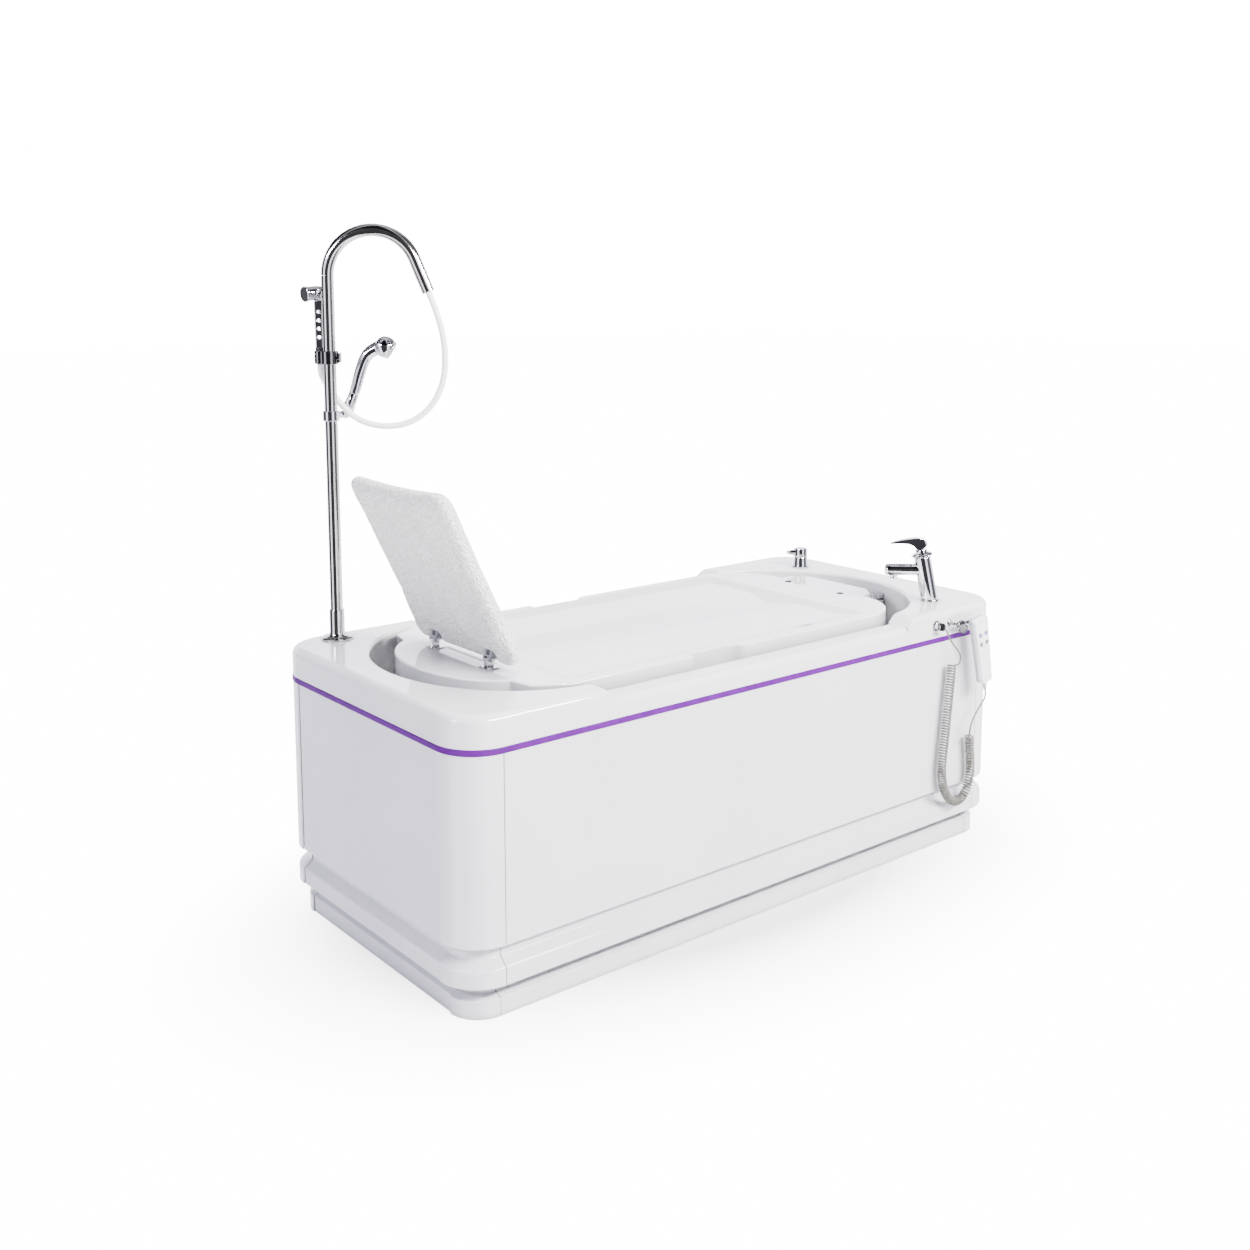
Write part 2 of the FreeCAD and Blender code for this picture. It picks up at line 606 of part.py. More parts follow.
feet = []
spots = [(x, y) for x in (-mm.column_x, mm.middle_rail_x, mm.column_x) for y in (-mm.rail_y, mm.rail_y)]
for x, y in spots + [(mm.middle_rail_x, 0)]:
    feet.append(fused([cylinder(cell.foot_pad_radius, cell.foot_pad_height, (x, y, 0)),
                       cylinder(cell.foot_stem_radius, cell.floor_gap, (x, y, 0))]))
node(grouped(feet), "levelling_feet")

case = box(cell.control_length, cell.control_width, cell.control_height,
           (cell.middle_rail_x - cell.control_length / 2, cell.control_width / -2, floor_top))
node(rounded(case, cell.control_radius, upright), "control_box")


# waste and overflow

low = cell.tub_floor - cell.waste_body_depth
outlet_end = low - cell.waste_tail_depth
waste = turned([
    (cell.waste_bore_radius, outlet_end), (cell.waste_tail_radius, outlet_end),
    (cell.waste_tail_radius, low), (cell.waste_body_radius, low),
    (cell.waste_body_radius, cell.tub_floor), (cell.waste_rim_radius, cell.tub_floor),
    (cell.waste_rim_radius, cell.tub_floor + cell.waste_rim_height / 2),
    (cell.waste_rim_radius - cell.waste_rim_height, cell.tub_floor + cell.waste_rim_height),
    (cell.waste_tail_radius, cell.tub_floor + cell.waste_rim_height),
    (cell.waste_tail_radius - cell.waste_rim_height, cell.tub_floor),
    (zero, cell.tub_floor), (zero, cell.tub_floor - cell.strainer_sheet),
    (cell.waste_bore_radius, cell.tub_floor - cell.strainer_sheet)])
holes = [cylinder(cell.strainer_hole_radius, cell.waste_body_depth,
                  (mm.strainer_ring_radius * math.cos(turn * math.pi / 3),
                   mm.strainer_ring_radius * math.sin(turn * math.pi / 3), low))
         for turn in range(6)]
outlet = cut(waste, fused(holes))
node(place(outlet, (cell.waste_x, 0, 0)), "waste_outlet")

wall_x = cell.foot_arc_x + cell.foot_nose - cell.seat_gap
rosette = [cylinder(cell.overflow_radius, cell.overflow_depth,
                    (wall_x - cell.overflow_proud, 0, cell.overflow_z), (-1, 0, 0)),
           cylinder(cell.overflow_hub_radius, cell.overflow_proud + cell.overflow_depth,
                    (wall_x - cell.overflow_hub_sag, 0, cell.overflow_z), (-1, 0, 0))]
node(fused(rosette), "overflow_cover")


# bathing platform: a moulded tray with a shallow dish, narrow at the head and tongued at the foot

def arc_through(start, middle, end):
    return Part.Arc(Vector(*start), Vector(*middle), Vector(*end)).toShape()


def platform_half(level, side, inset):
    # the outline of one side, from the nose at the head to the tongue at the foot
    def at(x, y):
        return (x, side * y, level)

    nose_length = mm.platform_nose_x - mm.platform_nose_centre - inset
    nose_half = mm.platform_nose_half - inset
    neck_x = mm.platform_neck_x - inset
    angle = math.acos((neck_x - mm.platform_nose_centre) / nose_length)
    nose = Part.Ellipse(Vector(-mm.platform_nose_centre, side * nose_half, level),
                        Vector(inset - mm.platform_nose_x, 0, level),
                        Vector(-mm.platform_nose_centre, 0, level))
    edges = [Part.ArcOfEllipse(nose, math.pi / 2 - angle, math.pi / 2).toShape()]
    wide = mm.tub_half_width - mm.platform_side_gap - inset
    narrow = wide - mm.hand_notch_depth
    notch_start, notch_foot = -mm.hand_notch_start - inset, inset - mm.hand_notch_end
    notch_end = notch_foot - mm.hand_notch_run
    half_run, half_depth = mm.hand_notch_run / 2, mm.hand_notch_depth / 2
    sweep = math.atan(half_depth / half_run)
    bend = half_run / math.sin(2 * sweep)
    off_x, off_y = bend * math.sin(sweep), bend * (1 - math.cos(sweep))
    points = [at(-neck_x, nose_half * math.sin(angle)),
              at(inset - mm.platform_shoulder_x, mm.platform_shoulder_y - inset),
              at(inset - mm.platform_wide_x, wide), at(notch_start, wide),
              at(notch_start, narrow), at(notch_end, narrow)]
    edges += [Part.LineSegment(Vector(*a), Vector(*b)).toShape() for a, b in zip(points, points[1:])]
    edges.append(arc_through(points[-1], at(notch_end + off_x, narrow + off_y),
                             at(notch_end + half_run, narrow + half_depth)))
    edges.append(arc_through(at(notch_end + half_run, narrow + half_depth),
                             at(notch_foot - off_x, wide - off_y), at(notch_foot, wide)))
    edges.append(Part.LineSegment(Vector(*at(notch_foot, wide)),
                                  Vector(*at(mm.platform_corner_x, wide))).toShape())
    end_x = mm.platform_end_x - inset
    radius = end_x - mm.platform_corner_x
    edges.append(arc_through(at(mm.platform_corner_x, wide),
                             at(mm.platform_corner_x + radius * math.sqrt(0.5),
                                wide - radius + radius * math.sqrt(0.5)),
                             at(end_x, wide - radius)))
    points = [at(end_x, wide - radius), at(end_x, mm.tongue_y - inset),
              at(mm.tongue_corner_x - inset / 2, mm.tongue_y - inset),
              at(mm.tongue_tip_x - inset, mm.tongue_tip_y - inset / 2),
              at(mm.tongue_tip_x - inset, 0)]
    edges += [Part.LineSegment(Vector(*a), Vector(*b)).toShape() for a, b in zip(points, points[1:])]
    return edges


def platform_outline(level, inset=0):
    return Part.Wire(Part.__sortEdges__(platform_half(level, 1, inset) + platform_half(level, -1, inset)))


platform_bottom = mm.platform_top - mm.platform_height
tray = prism(platform_outline(platform_bottom), mm.platform_height)
tray = tray.makeFillet(mm.platform_lip_radius,
                       [edge for edge in tray.Edges if at_level(edge, mm.platform_top)])

lip, over = mm.platform_top, mm.platform_top + mm.overrun
shelf = lip - mm.dish_depth
valley = shelf - mm.trough_depth
slope_in = mm.dish_half_width - mm.dish_slope
section = [(mm.dish_half_width, over), (mm.dish_half_width, lip), (slope_in, shelf),
           (mm.trough_half_width, shelf), (0, valley), (-mm.trough_half_width, shelf),
           (-slope_in, shelf), (-mm.dish_half_width, lip), (-mm.dish_half_width, over)]
outline = [Vector(-mm.bath_length, y, z) for y, z in section + section[:1]]
dish = Part.Face(Part.makePolygon(outline)).extrude(Vector(2 * mm.bath_length, 0, 0))
rise = mm.dish_fade * mm.overrun / (lip - valley)
section = [(-mm.dish_head_x - rise, over), (-mm.dish_head_x + mm.dish_fade, valley),
           (mm.dish_foot_x - mm.dish_fade, valley), (mm.dish_foot_x + rise, over)]
outline = [Vector(x, -mm.bath_width, z) for x, z in section + section[:1]]
dish = dish.common(Part.Face(Part.makePolygon(outline)).extrude(Vector(0, 2 * mm.bath_width, 0)))
tray = tray.cut(dish)

inner = platform_outline(platform_bottom, mm.platform_skin)
tray = tray.cut(prism(inner, valley - mm.platform_skin - platform_bottom))
for side in (-1, 1):
    tray = tray.cut(Part.makeCylinder(mm.drain_hole_radius, mm.platform_height,
                                      Vector(mm.drain_hole_x, side * mm.drain_hole_y, platform_bottom)))
ridge = Part.makeCylinder(
    mm.hinge_ridge_radius, 2 * mm.hinge_ridge_half,
    Vector(-mm.hinge_ridge_x, -mm.hinge_ridge_half,
           mm.platform_top + mm.hinge_ridge_height - mm.hinge_ridge_radius), Vector(0, 1, 0))
ridge = ridge.common(Part.makeBox(mm.bath_length, mm.bath_width, mm.bath_width,
                                  Vector(-mm.bath_length, -mm.bath_width / 2, valley)))
node(shaped(tray.fuse(ridge).removeSplitter()), "platform")


# guide rods in the tub and the carriages that slide on them under the platform

rods, tub_space = [], basin(-mm.seat_gap, mm.rim_bottom + mm.bath_width)
rod_places = [(side * x, y, side) for side, x in ((-1, mm.rod_head_x), (1, mm.rod_foot_x))
              for y in (-mm.rod_y, mm.rod_y)]
for x, y, side in rod_places:
    rod = Part.makeCylinder(mm.rod_radius, mm.rod_top - mm.rod_bottom, Vector(x, y, mm.rod_bottom))
    for level in (mm.rod_bottom, mm.rod_top - mm.rod_foot_height):
        start = x if side > 0 else x - mm.bath_width
        block = Part.makeBox(mm.bath_width, mm.rod_foot_width, mm.rod_foot_height,
                             Vector(start, y - mm.rod_foot_width / 2, level))
        rod = rod.fuse(block.common(tub_space))
    rods.append(shaped(rod))
node(grouped(rods), "platform_guides")

carriages = []
for side, x in ((-1, mm.rod_head_x), (1, mm.rod_foot_x)):
    low = mm.platform_top - mm.platform_height - mm.carriage_height
    half = mm.carriage_depth / 2
    block = box(cell.carriage_depth, 2 * cell.carriage_half_width, cell.carriage_height,
                (side * x - half, -mm.carriage_half_width, low))
    start = -mm.rod_head_x + half if side < 0 else mm.rod_foot_x - half - mm.carriage_arm
    arm = box(cell.carriage_arm, 2 * cell.carriage_half_width, cell.carriage_arm_sheet,
              (start, -mm.carriage_half_width, platform_bottom - mm.carriage_arm_sheet))
    bores = [cylinder(cell.rod_radius + cell.running_gap, cell.carriage_height, (side * x, y, low))
             for y in (-mm.rod_y, mm.rod_y)]
    carriages.append(cut(fused([block, arm]), fused(bores)))
node(grouped(carriages), "platform_carriages")


# backrest: brackets and pins on the platform, a stiff board in a padded terry sleeve

pin_z = cell.platform_top + cell.pin_height
lean = math.radians(mm.backrest_angle)
brackets, pins = [], []
for side in (-1, 1):
    y = side * mm.bracket_y
    base = box(cell.bracket_base_x, cell.bracket_base_y, cell.bracket_base_sheet,
               (-mm.pin_x - mm.bracket_base_x / 2, y - mm.bracket_base_y / 2, cell.platform_top))
    post = box(2 * cell.bracket_eye_radius, cell.bracket_post, cell.pin_height,
               (-mm.pin_x - mm.bracket_eye_radius, y - mm.bracket_post / 2, cell.platform_top))
    eye = cylinder(cell.bracket_eye_radius, cell.bracket_post,
                   (-mm.pin_x, y - mm.bracket_post / 2, pin_z), (0, 1, 0))
    hole = cylinder(cell.pin_radius, cell.bracket_post,
                    (-mm.pin_x, y - mm.bracket_post / 2, pin_z), (0, 1, 0))
    brackets.append(cut(fused([base, post, eye]), hole))
    pins.append(cylinder(cell.pin_radius, cell.pin_length,
                         (-mm.pin_x, y - mm.pin_length / 2, pin_z), (0, 1, 0)))
node(grouped(brackets), "backrest_brackets")
node(grouped(pins), "backrest_pins")

# the board and the sleeve lie flat here, length along X and thickness up, then tip up on the pin
tip = Placement(Vector(-mm.pin_x, 0, float(pin_z)),
                Rotation(Vector(-math.cos(lean), 0, math.sin(lean)), Vector(0, -1, 0),
                         Vector(math.sin(lean), 0, math.cos(lean)), "XYZ"))


def lug_shapes(gap, bored):
    shapes = []
    for side in (-1, 1):
        for outer in (-1, 1):
            middle = (side * mm.bracket_y
                      + outer * (mm.bracket_post / 2 + mm.seat_gap + mm.lug_sheet / 2))
            width = mm.lug_sheet + 2 * gap
            low_y = middle - width / 2
            eye = Part.makeCylinder(mm.lug_eye_radius + gap, width, Vector(0, low_y, 0), Vector(0, 1, 0))
            top = mm.board_offset + mm.board_sheet / 2
            arm = [Vector(-mm.lug_eye_radius - gap, low_y, 0), Vector(mm.lug_eye_radius + gap, low_y, -gap),
                   Vector(mm.lug_length, low_y, mm.board_offset), Vector(mm.lug_length, low_y, top),
                   Vector(0, low_y, top), Vector(-mm.lug_eye_radius - gap, low_y, 0)]
            lug = eye.fuse(Part.Face(Part.makePolygon(arm)).extrude(Vector(0, width, 0)))
            if bored:
                lug = lug.cut(Part.makeCylinder(mm.pin_radius + mm.running_gap, width,
                                                Vector(0, low_y, 0), Vector(0, 1, 0)))
            shapes.append(lug)
    return shapes


board = Part.makeBox(mm.board_length, mm.board_width, mm.board_sheet,
                     Vector(mm.board_start, -mm.board_width / 2, mm.board_offset))
board = board.multiFuse(lug_shapes(0, True)).removeSplitter()
thing = shaped(board)
thing.Placement = tip
node(thing, "backrest_board")

pad_bottom = mm.backrest_back_gap
half_thick = mm.backrest_thickness / 2
layers = []
# shares of the half thickness above and below the middle, and of the edge drawn in there
for level_share, inset_share in ((-1, 0.62), (-0.94, 0.34), (-0.7, 0.1), (0, 0), (0.7, 0.1),
                                 (0.94, 0.34), (1, 0.62)):
    inset = inset_share * half_thick
    height = pad_bottom + half_thick * (1 + level_share)
    low_x, high_x = -mm.backrest_start + inset, mm.backrest_length - mm.backrest_start - inset
    half_y = mm.backrest_width / 2 - inset
    corner = mm.backrest_corner - inset
    bow = mm.backrest_bow
    slant = corner * (1 - math.sqrt(0.5))
    edges = []
    for sx, sy in ((1, 1), (-1, 1), (-1, -1), (1, -1)):
        end_x = high_x - bow if sx > 0 else low_x + bow
        edges.append(arc_through((end_x, sy * (half_y - bow - corner), height),
                                 (end_x - sx * slant, sy * (half_y - bow - slant), height),
                                 (end_x - sx * corner, sy * (half_y - bow), height)))
    middle_x = (low_x + high_x) / 2
    for sy in (-1, 1):
        edges.append(arc_through((low_x + bow + corner, sy * (half_y - bow), height),
                                 (middle_x, sy * half_y, height),
                                 (high_x - bow - corner, sy * (half_y - bow), height)))
    for end_x, tip_x in ((high_x - bow, high_x), (low_x + bow, low_x)):
        edges.append(arc_through((end_x, half_y - bow - corner, height), (tip_x, 0, height),
                                 (end_x, -half_y + bow + corner, height)))
    layers.append(Part.Wire(Part.__sortEdges__(edges)))
sleeve = Part.makeLoft(layers, True, False)
holder = Part.makeBox(mm.board_length, mm.board_width, mm.board_sheet,
                      Vector(mm.board_start, -mm.board_width / 2, mm.board_offset))
sleeve = sleeve.cut(holder.multiFuse(lug_shapes(mm.seat_gap, False)))
for side in (-1, 1):
    room = mm.bracket_eye_radius + mm.backrest_edge / 2
    width = mm.pin_length + 2 * mm.backrest_back_gap
    sleeve = sleeve.cut(Part.makeCylinder(room, width, Vector(0, side * mm.bracket_y - width / 2, 0),
                                          Vector(0, 1, 0)))
thing = shaped(sleeve)
thing.Placement = tip
node(thing, "backrest_pad")


# shower riser, in its own frame: X along the gooseneck, Y behind it, turned about the pole

riser_frame = Placement(Vector(-mm.riser_x, mm.riser_y, 0), Rotation(Vector(0, 0, 1), mm.riser_turn))


def on_riser(thing, name):
    thing.Placement = riser_frame
    return node(thing, name)


def pipe(path, radius):
    # a round section of the given radius carried along a wire
    start = path.OrderedEdges[0]
    first = start.ParameterRange[0]
    if (start.valueAt(first) - path.OrderedVertexes[0].Point).Length > mm.seat_gap:
        first = start.ParameterRange[1]
    ring = Part.makeCircle(radius, path.OrderedVertexes[0].Point, start.tangentAt(first))
    return path.makePipeShell([Part.Wire([ring])], True, False)


top = cell.rim_top
flange = turned([
    (cell.riser_radius, top), (cell.flange_radius, top), (cell.flange_radius, top + cell.flange_sheet / 2),
    (cell.flange_radius - cell.flange_sheet / 2, top + cell.flange_sheet),
    (cell.sleeve_radius + cell.flange_sheet, top + cell.flange_sheet),
    (cell.sleeve_radius, top + cell.flange_sheet + cell.flange_cone_height),
    (cell.sleeve_radius, top + cell.sleeve_height), (cell.riser_radius, top + cell.sleeve_height)])
on_riser(flange, "riser_flange")


def gooseneck(leg):
    turn = math.radians(mm.riser_bend_angle)
    centre = Vector(mm.riser_bend_radius, 0, mm.riser_bend_z)

    def on_bend(angle):
        return centre + mm.riser_bend_radius * Vector(-math.cos(angle), 0, math.sin(angle))

    straight = Part.LineSegment(Vector(0, 0, mm.rim_top), Vector(0, 0, mm.riser_bend_z))
    bend = Part.Arc(on_bend(0), on_bend(turn / 2), on_bend(turn))
    end = on_bend(turn) + leg * Vector(math.sin(turn), 0, math.cos(turn))
    edges = [straight, bend, Part.LineSegment(on_bend(turn), end)]
    return Part.Wire([edge.toShape() for edge in edges]), end


outer_path, tip_point = gooseneck(mm.riser_leg)
inner_path, plug_point = gooseneck(mm.riser_leg - mm.riser_plug)
pole = pipe(outer_path, mm.riser_radius).cut(pipe(inner_path, mm.riser_radius - mm.riser_wall))
on_riser(shaped(pole), "shower_riser")

socket = (-mm.socket_along, mm.socket_behind, cell.collar_bottom)
socket_radius = cell.spray_stem_radius + cell.running_gap + cell.socket_wall
clamp = fused([cylinder(cell.riser_radius + cell.collar_wall, cell.collar_height,
                        (0, 0, cell.collar_bottom)),
               cylinder(socket_radius, cell.collar_height, socket)])
clamp = cut(clamp, fused([
    cylinder(cell.riser_radius, cell.collar_height, (0, 0, cell.collar_bottom)),
    cylinder(cell.spray_stem_radius + cell.running_gap, cell.collar_height, socket)]))
on_riser(clamp, "riser_collar")

grip_low = cell.spray_stem_bottom + cell.spray_stem_height
grip_top = grip_low + cell.spray_handle_height
head_z = grip_top + cell.spray_barrel_radius + cell.spray_gap
behind = mm.socket_behind
stem = cylinder(cell.spray_stem_radius, cell.spray_stem_height,
                (-mm.socket_along, behind, cell.spray_stem_bottom))
grip = rounded(box(cell.spray_handle_width, cell.spray_handle_sheet, cell.spray_handle_height,
                   (-mm.socket_along - mm.spray_handle_width / 2, behind - mm.spray_handle_sheet / 2,
                    grip_low)), cell.spray_handle_sheet / 4, upright)
facing = Vector(-mm.barrel_along, -mm.barrel_across, -mm.barrel_fall)
facing.normalize()
start = Vector(-mm.socket_along, behind, float(head_z))
barrel = cylinder(cell.spray_barrel_radius, cell.spray_barrel_length, start, facing)
face = cylinder(cell.spray_face_radius, cell.spray_face_sheet,
                start + mm.spray_barrel_length * facing, facing)
neck = cylinder(cell.spray_neck_radius, head_z - grip_top, (-mm.socket_along, behind, grip_top))
pin_level = grip_top - cell.trigger_radius * 2
pin_y = behind + mm.spray_handle_sheet / 2 + mm.trigger_gap + mm.trigger_radius
lugs = []
for side in (-1, 1):
    edge = mm.trigger_width / 2 + mm.seat_gap
    low_x = -mm.socket_along + (edge if side > 0 else -edge - mm.trigger_lug_sheet)
    lugs.append(box(cell.trigger_lug_sheet, 2 * cell.trigger_radius + cell.trigger_gap,
                    2 * cell.trigger_radius,
                    (low_x, behind + mm.spray_handle_sheet / 2, pin_level - cell.trigger_radius)))
pin_half = mm.trigger_width / 2 + mm.trigger_lug_sheet
pin = cylinder(cell.trigger_pin_radius, cell.trigger_width + 2 * cell.trigger_lug_sheet,
               (-mm.socket_along - pin_half, pin_y, pin_level), (1, 0, 0))
holes = [cylinder(cell.spray_hole_radius, 2 * cell.spray_handle_sheet,
                  (-mm.socket_along, behind - mm.spray_handle_sheet,
                   grip_low + cell.spray_hole_first + number * cell.spray_hole_pitch), (0, 1, 0))
         for number in range(4)]
spray = cut(fused([stem, grip, barrel, face, neck, pin] + lugs), fused(holes))
on_riser(spray, "hand_spray")

blade = box(cell.trigger_width, cell.trigger_sheet, cell.trigger_length,
            (-mm.trigger_width / 2, -mm.trigger_sheet / 2, -mm.trigger_length))
eye = cylinder(cell.trigger_radius, cell.trigger_width, (-mm.trigger_width / 2, 0, 0), (1, 0, 0))
hole = cylinder(cell.trigger_pin_radius + cell.running_gap, cell.trigger_width,
                (-mm.trigger_width / 2, 0, 0), (1, 0, 0))
trigger = cut(fused([blade, eye]), hole)
trigger.Placement = riser_frame.multiply(Placement(
    Vector(-mm.socket_along, float(pin_y), float(pin_level)), Rotation(Vector(1, 0, 0), mm.trigger_angle)))
node(trigger, "spray_trigger")


# soft hose from the tip of the gooseneck round behind the pole and up into the collar

def eased(points, share=0.45):
    # straight runs joined by arcs that touch both runs
    points = [Vector(*point) for point in points]
    edges, radii, last = [], [], points[0]
    for before, corner, after in zip(points, points[1:], points[2:]):
        into, out = corner - before, after - corner
        reach = share * min(into.Length, out.Length)
        half = into.getAngle(out) / 2
        radius = reach / math.tan(half)
        into.normalize()
        out.normalize()
        inwards = out - into
        inwards.normalize()
        begin, end = corner - reach * into, corner + reach * out
        middle = corner + (radius / math.cos(half) - radius) * inwards
        edges += [Part.LineSegment(last, begin).toShape(), Part.Arc(begin, middle, end).toShape()]
        radii.append(round(radius, 1))
        last = end
    edges.append(Part.LineSegment(last, points[-1]).toShape())
    print("arc radii", radii)
    return Part.Wire(edges)


def cord(points, radius, name, frame=None):
    path = eased(points)
    thing = shaped(pipe(path, radius))
    ratio = thing.Shape.Volume / (math.pi * radius ** 2 * path.Length)
    print(name, "length", round(path.Length, 1), "volume over section times length", round(ratio, 4))
    thing.Placement = frame or Placement()
    return node(thing, name)


mouth = (-mm.socket_along, mm.socket_behind, mm.spray_stem_bottom)
tip_way = tip_point - plug_point
tip_way.normalize()
hose_foot = Vector(0, 0, mm.collar_bottom)
hose_points = [tip_point, tip_point + mm.hose_first_run * tip_way]
hose_points += [hose_foot + mm.hose_loop * Vector(*shares) for shares in hose_shares] + [mouth]
cord(hose_points, mm.hose_radius, "spray_hose", riser_frame)


# swivelling shower arm on a ball stub behind the pole

stub_end = Vector(mm.stub_along, mm.stub_behind, mm.stub_z)
stub_way = Vector(mm.stub_along, mm.stub_behind, 0)
arm_lean = math.radians(mm.arm_lean)
arm_axis = Vector(math.sin(arm_lean), 0, math.cos(arm_lean))
band = cell.stub_band_height
clamp = fused([cylinder(cell.riser_radius + cell.stub_band_wall, band, (0, 0, cell.stub_z - band / 2)),
               cylinder(cell.stub_radius, Size(stub_way.Length, "sqrt(sizes.stub_along ^ 2"
                                               " + sizes.stub_behind ^ 2)"),
                        (0, 0, cell.stub_z), stub_way),
               ball(cell.stub_ball_radius, stub_end)])
on_riser(cut(clamp, cylinder(cell.riser_radius, 2 * band, (0, 0, cell.stub_z - band))), "arm_stub")

union = cone(cell.union_radius, cell.union_tip_radius, cell.union_length,
             stub_end + mm.union_start * arm_axis, arm_axis)
union = cut(union, ball(cell.stub_ball_radius + cell.running_gap, stub_end))
on_riser(union, "arm_union")

foot = stub_end + (mm.union_start + mm.union_length) * arm_axis
knee = foot + mm.arm_straight * arm_axis
inwards = Vector(math.cos(arm_lean), 0, -math.sin(arm_lean))
centre = knee + mm.arm_bend_radius * inwards


def on_arm(angle):
    angle = math.radians(mm.arm_lean + angle)
    return centre + mm.arm_bend_radius * Vector(-math.cos(angle), 0, math.sin(angle))


route = Part.Wire([Part.LineSegment(foot, knee).toShape(),
                   Part.Arc(knee, on_arm(mm.arm_bend_angle / 2), on_arm(mm.arm_bend_angle)).toShape()])
aim = math.radians(mm.arm_lean + mm.arm_bend_angle + mm.head_tilt)
aim = Vector(math.sin(aim), 0, math.cos(aim))
crown = on_arm(mm.arm_bend_angle)
head = Part.makeSphere(mm.head_small_radius, crown)
head = head.fuse(Part.makeCone(mm.head_small_radius, mm.head_radius, mm.head_length, crown, aim))
head = head.fuse(Part.makeCylinder(mm.head_radius, mm.head_rim, crown + mm.head_length * aim, aim))
arm = pipe(route, mm.arm_radius).fuse(head)
on_riser(shaped(arm), "shower_arm")


# mixer on the near corner, in its own frame: Z up the leaning column, X towards the spout

lean = Rotation(Vector(0, 1, 0), mm.mixer_lean)
mixer_frame = Placement(Vector(mm.mixer_x, -mm.mixer_y, mm.rim_top),
                        Rotation(Vector(0, 0, 1), mm.mixer_turn))
ring = cylinder(cell.mixer_base_radius, cell.mixer_base_sheet, (0, 0, 0))
column = cylinder(cell.mixer_radius, cell.mixer_column + cell.mixer_base_radius,
                  lean.multVec(Vector(0, 0, -mm.mixer_base_radius)), lean.multVec(Vector(0, 0, 1)))
spout_start = lean.multVec(Vector(0, 0, mm.spout_height))
spout = rounded(cylinder(cell.spout_radius, cell.spout_length, (0, 0, 0), (1, 0, 0)),
                cell.spout_end_radius, lambda edge: edge.BoundBox.XMin > mm.spout_length - mm.seat_gap)
spout.Placement = Placement(spout_start, Rotation())
outlet = cylinder(cell.outlet_radius, cell.spout_radius + cell.outlet_drop,
                  spout_start + Vector(mm.spout_length - mm.outlet_back - mm.outlet_radius, 0, 0),
                  (0, 0, -1))
below = box(cell.bath_width, cell.bath_width, cell.bath_width,
            (-mm.bath_width / 2, -mm.bath_width / 2, -mm.bath_width))
mixer = cut(fused([ring, column, spout, outlet]), below)
mixer.Placement = mixer_frame
node(mixer, "mixer_body")

top_frame = mixer_frame.multiply(
    Placement(lean.multVec(Vector(0, 0, mm.mixer_column + mm.seat_gap)), lean))
saucer = turned([
    (zero, zero), (cell.mixer_radius, zero), (cell.cap_radius, cell.cap_sheet / 2),
    (cell.cap_radius, cell.cap_sheet), (cell.mixer_radius, cell.cap_sheet + cell.cap_dome),
    (cell.neck_radius, cell.cap_sheet + cell.cap_dome), (cell.neck_radius, cell.neck_height),
    (zero, cell.neck_height)])
hinge_z = cell.neck_height + cell.lever_pivot
tongue = box(2 * cell.tongue_radius, cell.tongue_width, cell.lever_pivot + cell.cap_dome,
             (-mm.tongue_radius, -mm.tongue_width / 2, cell.neck_height - cell.cap_dome))
eye = cylinder(cell.tongue_radius, cell.tongue_width, (0, -mm.tongue_width / 2, hinge_z), (0, 1, 0))
pin = cylinder(cell.lever_pin_radius, 2 * cell.lever_half_width - 2 * cell.cap_dome,
               (0, -mm.lever_half_width + mm.cap_dome, hinge_z), (0, 1, 0))
cap = fused([saucer, tongue, eye, pin])
cap.Placement = top_frame
node(cap, "mixer_cap")

lever_low = hinge_z - cell.tongue_radius
lever = pad([(cell.lever_back / -1, lever_low), (cell.lever_back, lever_low),
             (cell.lever_length / 2, hinge_z + cell.lever_lift),
             (cell.lever_length, hinge_z + 2 * cell.lever_lift),
             (cell.lever_length, hinge_z + 2 * cell.lever_lift + cell.lever_nose),
             (cell.lever_back, hinge_z + 2 * cell.lever_lift + cell.lever_nose / 2),
             (cell.lever_back / -1, hinge_z + cell.lever_lift)],
            2 * cell.lever_half_width, "XZ_Plane")
lever.Placement = Placement(Vector(0, mm.lever_half_width, 0), Rotation())
flare = [(-mm.lever_length, mm.lever_half_width), (mm.lever_back, mm.lever_half_width),
         (mm.lever_length, mm.lever_tip_half_width)]
corners = flare + [(x, -y) for x, y in reversed(flare)]
outline = [Vector(x, y, 0) for x, y in corners + corners[:1]]
trim = shaped(Part.Face(Part.makePolygon(outline)).extrude(Vector(0, 0, mm.bath_width)))
common = doc.addObject("Part::MultiCommon", "flared")
common.Shapes = [lever, trim]
slot = box(2 * cell.slot_reach, cell.tongue_width + 2 * cell.seat_gap,
           cell.lever_pivot + 2 * cell.tongue_radius,
           (-mm.slot_reach, -mm.tongue_width / 2 - mm.seat_gap, lever_low - cell.tongue_radius))
bore = cylinder(cell.lever_pin_radius + cell.running_gap, 2 * cell.lever_half_width,
                (0, -mm.lever_half_width, hinge_z), (0, 1, 0))
lever = cut(common, fused([slot, bore]))
lever.Placement = top_frame
node(lever, "mixer_lever")


# diverter on the far corner

